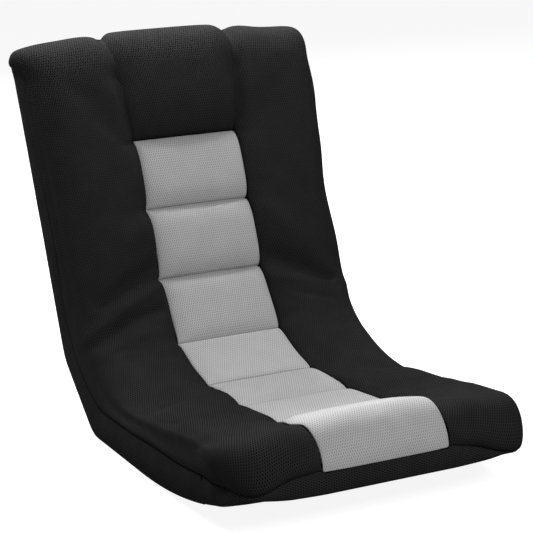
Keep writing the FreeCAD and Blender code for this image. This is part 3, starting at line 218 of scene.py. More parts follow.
def bolster_line(rise, setback=0.0, low=BAND_TOP, drop=0.0):
    """Side line of a bolster's skin from the rear of its top to the band under its front."""
    level = SEAT_LEVEL + (rise if rise < 0 else SEAT_RISE_SHARE * rise)
    reach = ROCKER_RADIUS - level + CROWN_BEND * max(rise, 0)
    pivot = complex(PATCH_FRONT, level + reach)
    front = NOSE_FRONT - NOSE_BULGE - END_RISE_SHARE * rise + setback
    crest, roll, tip = nose(pivot, reach, front, low + TIP_LIFT)
    # the top: a short straight edge and a quarter round
    peak = TOP - REARWARD * rise + UP_BACK * (END_RISE_SHARE * rise - drop)
    ring = TOP_RING_SHARE * (TOP_DEPTH + rise)
    rear = peak + REARWARD * (TOP_DEPTH + rise)
    round_start, round_end = peak + REARWARD * ring, peak - UP_BACK * ring
    foot = PELVIS + REARWARD * (PELVIS_RADIUS - rise)
    # the bend between the pelvis arc and the seat ends behind the flat patch's front
    start = near_hit(HINGE, heading(BEND_ANGLE), PELVIS, PELVIS_RADIUS - rise)
    inward = (PELVIS - start) / abs(PELVIS - start)
    bend = (start.imag - level) / (1 - inward.imag)
    hub = start + inward * bend
    reach_back = max(PATCH_FRONT + BEND_END - hub.real, 0)
    bottom = hub + complex(reach_back, -math.sqrt(bend ** 2 - reach_back ** 2))
    patch = complex(PATCH_FRONT, level)
    points = line(rear, round_start, ROWS["edge"])
    points += arc(round_start - UP_BACK * ring, round_start, round_end, ROWS["round"])
    points += line(round_end, foot, ROWS["back"]) + arc(PELVIS, foot, start, ROWS["pelvis"])
    points += arc(hub, start, bottom, ROWS["bend"]) + line(bottom, patch, ROWS["flat"])
    points += arc(pivot, patch, crest, ROWS["rocker"]) + roll + [tip]
    return np.array(points + tuck(tip, complex(SEAM_FRONT + setback, low), ROWS["front"]))


def along_level():
    """For every row, the distance along the sewn level, its point and its normal."""
    total = np.concatenate([[0], np.cumsum(np.abs(np.diff(bolster_line(0.0))))])
    s = total - total[TOP_ROW + ROWS["back"]]
    pairs = [level_at(value) for value in s]
    return s, np.array([p for p, n in pairs]), np.array([n for p, n in pairs])


MIDDLE_RISE = 0.02
SPLIT_CLEARANCE = 0.005
ROW_S, ROW_POINT, ROW_NORMAL = along_level()
ROW_HEIGHT = np.array([dot(point - BACK_FOOT, UP_BACK) for point in ROW_POINT])
ROW_OUT = np.gradient(bolster_line(MIDDLE_RISE)) * -1j
ROW_OUT = ROW_OUT / np.abs(ROW_OUT)
ROW_COUNT = len(ROW_S)
SPLIT_ROW = int(np.argmin(np.abs(ROW_POINT.real - (BAND_SPLIT + SPLIT_CLEARANCE))))


# The cloth pieces' meshes

def linked(name, data):
    thing = bpy.data.objects.new(name, data)
    bpy.context.scene.collection.objects.link(thing)
    return thing


def arc_lengths(grid):
    """Width and length of the cloth at every point of a grid, for its weave."""
    across = np.linalg.norm(np.diff(grid, axis=1), axis=2)
    along = np.linalg.norm(np.diff(grid, axis=0), axis=2)
    u = np.concatenate([np.zeros((grid.shape[0], 1)), np.cumsum(across, axis=1)], axis=1)
    v = np.concatenate([[0], np.cumsum(along.mean(axis=1))])[:, None] + 0 * u
    middle = grid.shape[1] // 2
    u = u - u[:, middle:middle + 1]
    return np.stack([u, v], axis=2)


def skin(name, grid, closed=True):
    """A mesh of a grid of points. Closed, its two long sides are joined behind it and its ends
    capped."""
    rows, columns = grid.shape[:2]
    uv = arc_lengths(grid).reshape(-1, 2)
    mesh = bpy.data.meshes.new(name)
    work = bmesh.new()
    verts = [work.verts.new(point) for point in grid.reshape(-1, 3)]
    layer = work.loops.layers.uv.new("weave")
    place = {vert: k for k, vert in enumerate(verts)}

    def face(*keys):
        made = work.faces.new([verts[k] for k in keys])
        made.smooth = True
        for loop in made.loops:
            loop[layer].uv = uv[place[loop.vert]]

    def at(j, i):
        return j * columns + i % columns

    for j in range(rows - 1):
        for i in range(columns - 1):
            face(at(j, i), at(j + 1, i), at(j + 1, i + 1), at(j, i + 1))
        if closed:
            face(at(j, -1), at(j + 1, -1), at(j + 1, 0), at(j, 0))
    if closed:
        face(*[at(0, i) for i in range(columns)])
        face(*[at(rows - 1, i) for i in reversed(range(columns))])
        bmesh.ops.recalc_face_normals(work, faces=work.faces)
    work.to_mesh(mesh)
    work.free()
    return linked(name, mesh)


def only(thing):
    bpy.ops.object.select_all(action="DESELECT")
    thing.select_set(True)
    bpy.context.view_layer.objects.active = thing


def finish_with(thing, kind, **settings):
    modifier = thing.modifiers.new(kind.lower(), kind)
    for key, value in settings.items():
        setattr(modifier, key, value)
    only(thing)
    bpy.ops.object.modifier_apply(modifier=modifier.name)


def places(thing):
    flat = np.empty(len(thing.data.vertices) * 3)
    thing.data.vertices.foreach_get("co", flat)
    return flat.reshape(-1, 3)


def put(thing, points):
    thing.data.vertices.foreach_set("co", points.ravel())
    thing.data.update()


WELD_DISTANCE = 2e-5
NO_LENGTH = 1e-6


def weld(thing):
    """Joins points that fell together and turns every face outward."""
    work = bmesh.new()
    work.from_mesh(thing.data)
    bmesh.ops.remove_doubles(work, verts=work.verts, dist=WELD_DISTANCE)
    bmesh.ops.dissolve_degenerate(work, edges=work.edges, dist=NO_LENGTH)
    bmesh.ops.recalc_face_normals(work, faces=work.faces)
    work.to_mesh(thing.data)
    work.free()


AIR_PRESSURE = 4.0
THREAD_STIFFNESS = 15
SOFT_BENDING, STIFF_BENDING = 2.0, 5.0
CLOTH_QUALITY = 5
CLOTH_FRAMES = 20
CALMING_ROUNDS = 9
NO_SIZE = 1e-9


def blow_up(thing, sewn, slack, stiff):
    """Runs the cloth with air inside and applies it. Sewn points stay where they are."""
    group = thing.vertex_groups.new(name="sewn")
    group.add([int(k) for k in np.flatnonzero(sewn.ravel())], 1.0, "REPLACE")
    cloth = thing.modifiers.new("air", "CLOTH")
    cloth.settings.vertex_group_mass = "sewn"
    cloth.settings.use_pressure = True
    cloth.settings.uniform_pressure_force = AIR_PRESSURE
    cloth.settings.shrink_min = -slack
    cloth.settings.tension_stiffness = THREAD_STIFFNESS
    cloth.settings.compression_stiffness = THREAD_STIFFNESS
    cloth.settings.bending_stiffness = stiff
    cloth.settings.effector_weights.gravity = 0
    cloth.settings.quality = CLOTH_QUALITY
    cloth.collision_settings.use_collision = False
    cloth.collision_settings.use_self_collision = False
    for number in range(1, CLOTH_FRAMES + 1):
        bpy.context.scene.frame_set(number)
    only(thing)
    bpy.ops.object.modifier_apply(modifier=cloth.name)
    bpy.context.scene.frame_set(1)
    thing.vertex_groups.clear()


def calmed(move, sewn):
    """A move of a grid's points, smoothed along and across, with none where it is sewn."""
    for number in range(CALMING_ROUNDS):
        move[1:-1] = (move[:-2] + 2 * move[1:-1] + move[2:]) / 4
        move[:, 1:-1] = (move[:, :-2] + 2 * move[:, 1:-1] + move[:, 2:]) / 4
        move[sewn] = 0
    return move


def inflate(thing, relief, cap, slack, rows=(), ends=(1, 1), edges=(1, 1), stiff=SOFT_BENDING):
    """Blows a piece up as cloth, its seams held, and keeps each point within a cap. Rows are
    sewn rows, ends and edges the counts of held rows and columns along its borders. The relief
    is the creases that are pressed in afterwards, a move for each point."""
    before = places(thing)
    sewn = np.zeros(relief.shape[:2], bool)
    sewn[:ends[0]] = sewn[-ends[1]:] = True
    sewn[:, :edges[0]] = sewn[:, -edges[1]:] = True
    sewn[list(rows)] = True
    blow_up(thing, sewn, slack, stiff)
    move = calmed((places(thing) - before).reshape(relief.shape), sewn).reshape(-1, 3)
    size = np.linalg.norm(move, axis=1, keepdims=True)
    put(thing, before + move * np.minimum(1, cap / np.maximum(size, NO_SIZE)))
    put(thing, places(thing) + relief.reshape(-1, 3))
    weld(thing)
    finish_with(thing, "SUBSURF", levels=1, render_levels=1)


FOLD_ANGLE = 23
FOLD_MIDDLE = HINGE + heading(FOLD_ANGLE + 90) * 0.075


def blended(thing):
    """Bakes a piece's place into its mesh."""
    way = heading(FOLD_ANGLE)
    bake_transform(thing)


def dress(thing, cloth, slot, fill, *nodes):
    """Gives a padded piece its cloth and hides the solids that it stands for."""
    thing.data.materials.append(cloth)
    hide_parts(*nodes)


def spread(x, points):
    """Points in space, from how far across they lie and where in the side plane."""
    return np.stack([x, points.real, points.imag], axis=-1)


# The bolsters

CROWN = 0.032
SHOULDER_DROP = 0.042
RIDGE_SHARE = {RIGHT: 0.7, LEFT: 0.62}
FALL_POWER = {RIGHT: 3, LEFT: 2.3}
TOP_COLUMNS = 37
SECTION_POINTS = 400
SEAM_COLUMN_SHARE = 0.1
SIDE_SHARES = (0.17, 0.34, 0.51, 0.68, 0.85, 0.98, 1.0)

# The seam over the front band: its height at the panel, then from, to and fall, going outward
PANEL_LOW = 0.092
SEAM_FALLS = {
    RIGHT: ((PANEL_HALF, 0.2, 0.014), (0.2, HALF_WIDTH, 0.008)),
    LEFT: ((0.14, 0.245, 0.018),),
}

# The left bolster's top edge is higher here: across, width, height
LEFT_TOP_HILL = (0.19, 0.05, 0.005)

# Where a bolster's outer edge swells. Up the back: the growth's start, end and size, then hills
# as height, width, size. Over the front: a hill along the sewn level.
BACK_GROWTH = (0.1, 0.40, 0.009)
BACK_HILLS = {
    RIGHT: ((0.405, 0.035, 0.003), (0.29, 0.08, 0.009), (0.19, 0.05, 0.005), (0.02, 0.07, 0.005)),
    LEFT: ((0.41, 0.03, 0.015),),
}
FRONT_HILL = (0.605, 0.04, 0.007)

# The outer front corner leans in, from this row of the nose on
FRONT_LEAN = 0.010
LEAN_START = ROW_COUNT - 1 - ROWS["front"] - ROWS["nose"] + 6

# Where the outside lies lower: along the sewn level, as start, end, size
SEAT_SINK = (0.02, 0.14, 0.009)
SEAT_SINK_END = (0.26, 0.38)
FRONT_SINK = (0.51, 0.60, 0.010)
FRONT_CREST = (0.46, 0.07, 0.004)
SINK_SHARES = (0.25, 0.8)

# Folds of the cloth beside the headrest, and over the front
HEAD_FOLD = (0.26, 0.36, 0.009)
HEAD_FOLD_SHARES = (0.27, 0.24)
EDGE_FOLD = (0.39, 0.41, 0.003)
EDGE_FOLD_SHARES = (0.05, 0.15)
NOSE_FOLD = (0.59, 0.05, 0.003)

# Depth of the side band's seam under the sewn level, by the distance along it
BAND_DEPTH_AT = (-0.42, -0.05, 0.0, 0.087, 0.173, 0.226, 0.291, 0.343, 0.390, 0.5217)
BAND_DEPTH = (0.031, 0.030, 0.036, 0.048, 0.051, 0.038, 0.036, 0.032, 0.033, 0.047)
SIDE_BULGE_SHARE = 0.45
SIDE_TUCK = (0.6, 0.04, 0.003)
SIDE_PUFF = 0.002
SEAM_GROOVE = 0.0006

# Along the panel the bolster puffs between the seams, sways and turns down into the seam
PUFF_AT = (0.055, 0.125, 0.230, 0.300)
PUFF_AT_EDGE = {RIGHT: (0.009, 0.003, 0.003, 0.005), LEFT: (0.015, 0.003, 0.002, 0.006)}
PUFF_REACH = 0.02
SWAY = 0.003
SWAY_REACH = 0.03
SEAM_TURN = 0.0018
SEAM_TURN_REACH = 0.0022
SEAM_PINCH = 0.002
SEAM_PINCH_REACH = 0.015
LEFT_WIDENING = (0.465, 0.565, 0.025)

# The panel's puffs are square shouldered. The last one swells up from its seam alone.
PUFF_SQUARE = 3.4
PUFF_SHOULDER = 0.55
LAST_PUFF_FULL = 4.35 * SECTION

# The headrest's half width, by the height above its foot, and the trench beside it
HEAD_HEIGHTS = (0, 0.02, 0.135, 0.17, 0.2)
HEAD_HALF_WIDTHS = (0.0935, 0.099, 0.1165, 0.115, 0.11)
TRENCH = 0.008
TRENCH_HALF = 0.008
TRENCH_OFFSET = 0.001
TRENCH_START = (0.23, 0.26)

# Creases of each bolster: from and to as (distance along, across), height, width at both ends
CREASES = {
    LEFT: (
        ((0.008, 0.098), (0.084, 0.246), 0.0055, 0.016, 0.010),
        ((-0.026, 0.094), (0.028, 0.215), -0.015, 0.018, 0.012),
        ((0.058, 0.115), (0.098, 0.256), -0.0075, 0.010, 0.012),
        ((0.105, 0.130), (0.118, 0.235), 0.004, 0.010, 0.012),
        ((0.160, 0.110), (0.146, 0.212), -0.0022, 0.006, 0.005),
        ((0.138, 0.170), (0.126, 0.222), -0.0018, 0.006, 0.005),
        ((-0.090, 0.100), (-0.075, 0.150), 0.005, 0.024, 0.020),
        ((0.590, 0.150), (0.600, 0.225), 0.003, 0.030, 0.030),
    ),
    RIGHT: (
        ((-0.024, 0.094), (0.044, 0.215), -0.017, 0.022, 0.009),
        ((-0.115, 0.100), (-0.020, 0.180), 0.006, 0.024, 0.020),
        ((0.026, 0.096), (0.056, 0.250), 0.0045, 0.016, 0.012),
        ((0.066, 0.140), (0.090, 0.205), -0.0028, 0.005, 0.006),
        ((0.146, 0.130), (0.140, 0.235), -0.0020, 0.009, 0.009),
        ((0.112, 0.094), (0.102, 0.125), -0.006, 0.012, 0.008),
        ((0.200, 0.120), (0.195, 0.200), -0.003, 0.030, 0.030),
        ((0.498, 0.120), (0.512, 0.215), 0.0025, 0.014, 0.012),
        ((0.480, 0.110), (0.494, 0.200), -0.0015, 0.008, 0.008),
    ),
}
CREASE_FADE_SHARE = 0.35
NEAR_FADE_SHARE = 0.55
NEAR_FADE_REACH = 0.012
CREASES_END = (0.58, 0.65)
SIDE_CREASE_SHARE = 0.8


def swell(share, side):
    """Height of a bolster across it, from the panel to the outside."""
    ridge, power = RIDGE_SHARE[side], FALL_POWER[side]
    if share < ridge:
        return CROWN * math.sqrt(1 - (1 - share / ridge) ** 2)
    fall = (share - ridge) / (1 - ridge)
    return CROWN - SHOULDER_DROP * (1 - (1 - fall ** power) ** (1 / power))


def bolster_section(side):
    """A bolster's section as (across, rise), at even steps from the panel to the outside, with
    one more step close to the panel's seam."""
    shares = 1 - (1 - np.linspace(0, 1, SECTION_POINTS)) ** 2
    dense = [(PANEL_HALF + SPAN * share, swell(share, side)) for share in shares]
    section = even(dense, TOP_COLUMNS - 1)
    near = section[0] * (1 - SEAM_COLUMN_SHARE) + section[1] * SEAM_COLUMN_SHARE
    return np.insert(section, 1, near, axis=0)


def bump_between(s):
    """0 at each seam of the panel and 1 between them."""
    share = (s / SECTION) % 1
    inside = (1 - np.abs(2 * share - 1) ** PUFF_SQUARE) ** PUFF_SHOULDER
    return np.where(s > LAST_SEAM, smooth(LAST_SEAM, LAST_PUFF_FULL, s), inside)


def left_widening(s):
    """How much further out the panel's left seam runs over the front."""
    return rising(s, *LEFT_WIDENING)


def creased(s, across, creases):
    """Height that the creases give at a place on a bolster."""
    height = np.zeros(np.broadcast(s, across).shape)
    for (s0, x0), (s1, x1), lift, wide, narrow in creases:
        run = (s1 - s0) ** 2 + (x1 - x0) ** 2
        share = np.clip(((s - s0) * (s1 - s0) + (across - x0) * (x1 - x0)) / run, 0, 1)
        away = np.hypot(s - s0 - share * (s1 - s0), across - x0 - share * (x1 - x0))
        slope = np.exp(-(away / (wide + (narrow - wide) * share)) ** 2)
        height += lift * (1 - CREASE_FADE_SHARE * share) * slope
    return height


def top_line(x, rise, side):
    """Side line of a bolster's skin at a distance from the middle."""
    setback = CORNER_RADIUS * round_off((x - (HALF_WIDTH - CORNER_RADIUS)) / CORNER_RADIUS)
    drop = TOP_CORNER * round_off((x - HALF_WIDTH + TOP_CORNER) / TOP_CORNER)
    if side == LEFT:
        drop -= hills(x, (LEFT_TOP_HILL,))
    low = PANEL_LOW - sum(rising(x, *fall) for fall in SEAM_FALLS[side])
    return bolster_line(rise, float(setback), float(low), float(drop))


def shoulder_sink(side, lean):
    """How far the outside of a bolster lies under its section, for every row."""
    seat = rising(ROW_S, *SEAT_SINK) * (1 - smooth(*SEAT_SINK_END, ROW_S))
    front = rising(ROW_S, *FRONT_SINK) * (1 - lean if side == LEFT else 1)
    return seat - hills(ROW_S, (FRONT_CREST,)) + front


def cloth_folds(side, share):
    """Height of the folds that a bolster has before it is blown up."""
    head = rising(ROW_HEIGHT, *HEAD_FOLD)[:, None] * hill(share, *HEAD_FOLD_SHARES)
    edge = rising(ROW_HEIGHT, *EDGE_FOLD)[:, None] * hill(share, *EDGE_FOLD_SHARES)
    front = hills(ROW_S, (NOSE_FOLD,))[:, None] * smooth(0.5, 1.0, share)
    return head - side * edge + front


def side_seam(top):
    """Where a bolster's side meets the side band, for every row. Past the split it runs on to the
    front's outer corner."""
    seam = ROW_POINT - ROW_NORMAL * np.interp(ROW_S, BAND_DEPTH_AT, BAND_DEPTH)
    rows = np.arange(ROW_COUNT)
    share = (rows - SPLIT_ROW) / (ROW_COUNT - 1 - SPLIT_ROW)
    to_corner = (top[-1, -1] - seam[SPLIT_ROW]) * np.clip(share, 0, 1)
    seam = np.where(share > 0, seam[SPLIT_ROW] + to_corner, seam)
    edge = top[0, -1]
    seam[:TOP_ROW] = edge + (seam[TOP_ROW] - edge) * (rows[:TOP_ROW] / TOP_ROW)
    return seam


def pressed_creases(side, x, inner):
    """What is pressed into a bolster after it is blown up, as a move for each point. Inner is the
    distance from the panel's seam."""
    away = np.concatenate([np.ones(TOP_COLUMNS), np.linspace(SIDE_CREASE_SHARE, 0, len(SIDE_SHARES))])
    near = 1 - NEAR_FADE_SHARE * np.exp(-inner / NEAR_FADE_REACH)
    height = creased(ROW_S[:, None], x, CREASES[side]) * near * away
    height = height * (1 - smooth(*CREASES_END, ROW_S))[:, None]
    pinch = SEAM_PINCH * (1 - bump_between(ROW_S)[:, None]) * np.exp(-inner / SEAM_PINCH_REACH)
    head_half = np.interp(ROW_HEIGHT - 2 * SECTION, HEAD_HEIGHTS[:4], HEAD_HALF_WIDTHS[:4])[:, None]
    trench = TRENCH * hill(x, head_half + TRENCH_OFFSET, TRENCH_HALF)
    trench = trench * smooth(*TRENCH_START, ROW_HEIGHT)[:, None]
    move = ROW_OUT[:, None] * (height - pinch - trench)
    return spread(0 * x, move)


def bolster_grid(side):
    """The points of a bolster's skin, and the creases to press into it."""
    section = bolster_section(side)
    share = (section[:, 0] - PANEL_HALF) / SPAN
    top = np.array([top_line(x, rise, side) for x, rise in section]).T
    bulge = rising(ROW_HEIGHT, *BACK_GROWTH) + hills(ROW_S, (FRONT_HILL,))
    bulge = bulge + hills(ROW_HEIGHT, BACK_HILLS[side])
    lean = smooth(LEAN_START, ROW_COUNT - 1, np.arange(ROW_COUNT))
    wide = left_widening(ROW_S)[:, None] if side == LEFT else 0.0
    x = section[None, :, 0] + bulge[:, None] * share ** 2
    x = x - FRONT_LEAN * lean[:, None] * share ** 3 + wide * (1 - share)
    sink = shoulder_sink(side, lean)[:, None] * smooth(*SINK_SHARES, share)
    top = top - ROW_NORMAL[:, None] * sink + ROW_OUT[:, None] * cloth_folds(side, share)
    # down the side to the band's seam
    edge, seam = top[:, -1], side_seam(top)
    sides, side_x = [], []
    for share in SIDE_SHARES:
        inward = bulge * SIDE_BULGE_SHARE + hills(ROW_S, (SIDE_TUCK,))
        puff = SIDE_PUFF * math.sin(math.pi * share) - SEAM_GROOVE * (share == 1)
        sides.append(edge + (seam - edge) * share)
        side_x.append(x[:, -1] - inward * share ** 2 + puff)
    points = np.concatenate([top, np.array(sides).T], axis=1)
    x = np.concatenate([x, np.array(side_x).T], axis=1)
    # the inner edge follows the panel's puffs and turns down into the seam
    inner = x - PANEL_HALF - wide
    between_seams = bump_between(ROW_S)[:, None]
    puff = np.interp(ROW_S, PUFF_AT, PUFF_AT_EDGE[side])[:, None]
    lift = puff * between_seams * np.exp(-inner / PUFF_REACH)
    lift = lift - SEAM_TURN * np.exp(-inner / SEAM_TURN_REACH)
    points = points + ROW_NORMAL[:, None] * lift
    relief = pressed_creases(side, x, inner)
    x = x * side + SWAY * between_seams * np.exp(-inner / SWAY_REACH)
    return spread(x, points), relief


# The centre panel

SEAM_COUNT = 6
STEPS_PER_SECTION = 22
SEAM_ROWS = [STEPS_PER_SECTION * (k + 1) for k in range(SEAM_COUNT)]
CLUSTERING_SHARE = 0.8
STEPS = np.arange(SEAM_COUNT * STEPS_PER_SECTION + 1) / STEPS_PER_SECTION
SHIFTS = CLUSTERING_SHARE * np.sin(2 * math.pi * STEPS) / (2 * math.pi)
PANEL_S = SECTION * (STEPS - SHIFTS - 2)

PANEL_PUFF = 0.0175
EDGE_PUFF_SHARE = {RIGHT: 0.6, LEFT: 0.3}
SEAT_FLATTENING = (0.05, 0.16, 0.62)
NOSE_PUFF_SHARE = 0.9
NOSE_SQUARE, NOSE_SHOULDER = 2.6, 0.62
NOSE_STEPS = 13
PANEL_CLEARANCE = 0.0002
PANEL_TIP_LIFT = 0.002
TIP_ROUND = 0.07
EDGE_DIP = 0.003
EDGE_DIP_REACH = 0.0022
EDGE_FULLNESS = (PANEL_HALF - 0.008, 0.006, 0.003)
SEAM_RELIEF = 0.003

# Columns of half the panel, by the distance from its edge
PANEL_COLUMNS = (0, 0.0015, 0.004, 0.008, 0.013, 0.019, 0.026, 0.034, 0.042, 0.05, 0.058, 0.066,
                 0.074, 0.082, 0.09, 0.095)


def panel_line(puff, edge_dip):
    """Side line of the centre panel's skin from the headrest to the band under its front."""
    points = []
    for s in PANEL_S:
        point, normal = level_at(s)
        flatter = 1 - rising(s, *SEAT_FLATTENING)
        bump = float(bump_between(min(s, LAST_SEAM - JUST_UNDER)))
        points.append(point + normal * (puff * flatter * bump - edge_dip))
    crest, roll, tip = nose(ROCKER, LEVEL_RADIUS - NOSE_PUFF_SHARE * puff,
                            SEAM_FRONT + PANEL_CLEARANCE + edge_dip,
                            PANEL_LOW + PANEL_TIP_LIFT - edge_dip)
    hub = tip + TIP_ROUND
    roll = [p - (p - hub) / abs(p - hub) * edge_dip * (1 - k / len(roll)) for k, p in enumerate(roll)]
    # a soft pillow from the last seam to the crest, then the roll
    start = points[-1].real
    normal = level_at(LAST_SEAM)[1]
    for k in range(1, NOSE_STEPS):
        share = k / NOSE_STEPS
        y = start + (crest.real - start) * share
        z = ROCKER.imag - math.sqrt(LEVEL_RADIUS ** 2 - (y - PATCH_FRONT) ** 2)
        fullness = (1 - (1 - share) ** NOSE_SQUARE) ** NOSE_SHOULDER
        points.append(complex(y, z) + normal * (NOSE_PUFF_SHARE * puff * fullness - edge_dip))
    return np.array(points + roll + [tip, complex(SEAM_FRONT + edge_dip, PANEL_LOW)])


def panel_grid():
    half = np.array(PANEL_COLUMNS)
    offsets = np.concatenate([half, 2 * PANEL_HALF - half[-2::-1]]) - PANEL_HALF
    lines = []
    for x in offsets:
        share = abs(x) / PANEL_HALF
        edge = EDGE_PUFF_SHARE[RIGHT if x > 0 else LEFT]
        puff = PANEL_PUFF * (edge + (1 - edge) * math.sqrt(max(1 - share ** 4, 0)))
        dip = EDGE_DIP * math.exp(-(PANEL_HALF - abs(x)) / EDGE_DIP_REACH)
        lines.append(panel_line(puff, dip))
    points = np.array(lines).T
    s = np.concatenate([PANEL_S, np.full(len(points) - len(PANEL_S), LAST_SEAM + SECTION)])
    bumps = bump_between(s)[:, None]
    sway = SWAY * bumps * smooth(0.5, 1.0, np.abs(offsets) / PANEL_HALF)
    full = bumps * hills(offsets, (EDGE_FULLNESS,))
    over = np.clip((PATCH_FRONT - points.real) / LEVEL_RADIUS, 0, 1)
    wide = left_widening(FLAT_END + LEVEL_RADIUS * np.arcsin(over))
    x = offsets[None, :] + sway + full - wide * (np.clip(-offsets, 0, None) / PANEL_HALF)
    return spread(x, points)


def panel_seams(grid):
    """The sewn seams across the panel, pressed in after it is blown up."""
    relief = np.zeros(grid.shape)
    for row in SEAM_ROWS:
        way = level_at(row * SECTION / STEPS_PER_SECTION - 2 * SECTION)[1]
        relief[row, :, 1:] -= [SEAM_RELIEF * way.real, SEAM_RELIEF * way.imag]
    return relief


# The headrest

HEAD_COLUMNS = 40
HEAD_PUFF = 0.037
HEAD_EDGE_SHARE = 0.32
HEAD_RISE = 0.018
HEAD_RISE_SHARE = 0.16
HEAD_CORNER = 0.012
HEAD_CORNER_START = 0.86
HEAD_LOW_RING = 0.03
HEAD_FALL = 0.045
HEAD_FRONT_ROWS, HEAD_TOP_ROWS, HEAD_ROLL_ROWS, HEAD_UNDER_ROWS = 20, 14, 12, 3
HEAD_CLEARANCE = 0.0005
HEAD_UNDER = 0.004
REAR_CLEARANCE = 0.001
REAR_DROP = 0.003
REAR_NARROWING = 0.008
REAR_ROWS = 16
# The rear's rows, as shares of its height and their way forward
REAR_SHARES = ((0, 0), (0.3, 0), (0.7, 0), (0.93, 0.002), (1, 0.008))


def head_line(side):
    """Side line of the headrest's skin, from the band behind it over the top and down to the
    panel. Side is the share of the way from the middle to the edge."""
    puff = HEAD_PUFF * (HEAD_EDGE_SHARE + (1 - HEAD_EDGE_SHARE) * (1 - side ** 4) ** 0.5)
    corner = HEAD_CORNER * (1 - (1 - float(smooth(HEAD_CORNER_START, 1.0, side))) ** 0.5)
    peak = TOP - REARWARD * puff + UP_BACK * (HEAD_RISE + HEAD_RISE_SHARE * puff - corner)
    foot = HEAD_FOOT + UP_BACK * HEAD_CLEARANCE
    ring = TOP_RING_SHARE * (TOP_DEPTH + puff)
    rear = TOP + REARWARD * (TOP_DEPTH + REAR_CLEARANCE) - UP_BACK * REAR_DROP
    step = dot(peak - rear, UP_BACK)
    round_start, round_end = peak + REARWARD * ring, peak - UP_BACK * ring
    low_ring = min(puff, HEAD_LOW_RING)
    fall = low_ring + HEAD_FALL
    roll_start = foot - REARWARD * puff + UP_BACK * fall
    roll_end = foot - REARWARD * (puff - low_ring)
    under = foot + REARWARD * HEAD_UNDER
    points = [rear + UP_BACK * (share * step) - REARWARD * forward for share, forward in REAR_SHARES]
    points += arc(round_start - UP_BACK * ring, round_start, round_end, HEAD_TOP_ROWS)[2:]
    points += line(round_end, roll_start, HEAD_FRONT_ROWS)
    for k in range(HEAD_ROLL_ROWS):
        turn = math.pi / 2 * k / HEAD_ROLL_ROWS
        forward, up = low_ring * math.cos(turn), fall * (1 - math.sin(turn))
        points.append(roll_end - REARWARD * forward + UP_BACK * up)
    return points + line(roll_end, under, HEAD_UNDER_ROWS) + [under]


def head_grid():
    offsets = np.sin(math.pi * (np.arange(HEAD_COLUMNS + 1) / HEAD_COLUMNS - 0.5))
    points = np.array([head_line(abs(float(offset))) for offset in offsets]).T
    up = np.array([[dot(point - HEAD_FOOT, UP_BACK) for point in row] for row in points])
    half = np.interp(up, HEAD_HEIGHTS, HEAD_HALF_WIDTHS)
    narrowing = REAR_NARROWING * (1 - np.arange(len(points)) / REAR_ROWS).clip(0, 1) ** 2
    x = (half - narrowing[:, None]) * offsets[None, :]
    return spread(x, points)


# The outline of the base

KNEE_ROUND = 0.06
HEEL_ROUND = 0.045
ROUND_STEPS = 14
FRONT_STEPS = 30
PARALLEL = 1e-12


def rounded(corner, come, leave, radius):
    """The arc that rounds a corner of the side plane."""
    half = abs(cmath.phase(leave / come)) / 2
    tangent = radius * math.tan(half)
    a, b = corner - come * tangent, corner + leave * tangent
    centre = corner + (leave - come) / abs(leave - come) * radius / math.cos(half)
    return arc(centre, a, b, ROUND_STEPS) + [b]


def outline_of_base():
    """The rear, the heel and the underside in the side plane, from the top to the front."""
    rear = BACK_FOOT + REARWARD * BACK_THICKNESS
    # where the rear underside meets the rear
    knee = HEEL - UP_HEEL * dot(HEEL - rear, REARWARD) / dot(UP_HEEL, REARWARD)
    points = [TOP + REARWARD * BACK_THICKNESS]
    points += rounded(knee, -UP_BACK, -UP_HEEL, KNEE_ROUND)
    points += rounded(HEEL, -UP_HEEL, -1 + 0j, HEEL_ROUND)
    for y in np.linspace(PATCH_FRONT, BASE_FRONT + CORNER_RADIUS, FRONT_STEPS):
        points.append(complex(y, float(under_at(y))))
    return points


def depth_to(polyline, point, normal):
    """How far under a point of the sewn level a line of the side plane lies. 0 if it is beside."""
    found = []
    for a, b in zip(polyline, polyline[1:]):
        side = b - a
        bottom = (side.conjugate() * -normal).imag
        if abs(bottom) < PARALLEL:
            continue
        share = ((point - a).conjugate() * -normal).imag / bottom
        reach = dot(a + side * share - point, -normal)
        if -JUST_UNDER <= share <= 1 + JUST_UNDER and reach > 0:
            found.append(reach)
    return min(found, default=0)


def base_rows():
    """Where every row of the bolsters meets the outline of the base."""
    polyline = outline_of_base()
    points = np.array([point - normal * depth_to(polyline, point, normal)
                       for point, normal in zip(ROW_POINT, ROW_NORMAL)])
    top = polyline[0]
    points[:TOP_ROW] = top + (points[TOP_ROW] - top) * (np.arange(TOP_ROW) / TOP_ROW)
    return points


BASE_ROWS = base_rows()


# The bands round the edge

# Columns of a band, as shares of its width
BAND_SHARES = (0, 0.015, 0.09, 0.2, 0.33, 0.46, 0.59, 0.71, 0.81, 0.89, 0.95, 0.985, 1)
BAND_PUFF = 0.003
BAND_ROLL = 0.004
BAND_CAP = 0.0012
BAND_SLACK = 0.01
BAND_FILL = 0.7
TOP_STEPS = 14
FRONT_POINTS = 190
CHAIR_MIDDLE = (0, 0.05, 0.25)

# How far the front band's foot hangs below the underside, all along, in the middle, at the corners
FOOT_SAG = -0.001
MIDDLE_SAG = (0.1, 0.2, 0.003)
CORNER_SAG = 0.007
CORNER_SAG_BACK = (-0.02, 0.05)
CORNER_SAG_ACROSS = (0.16, 0.235)


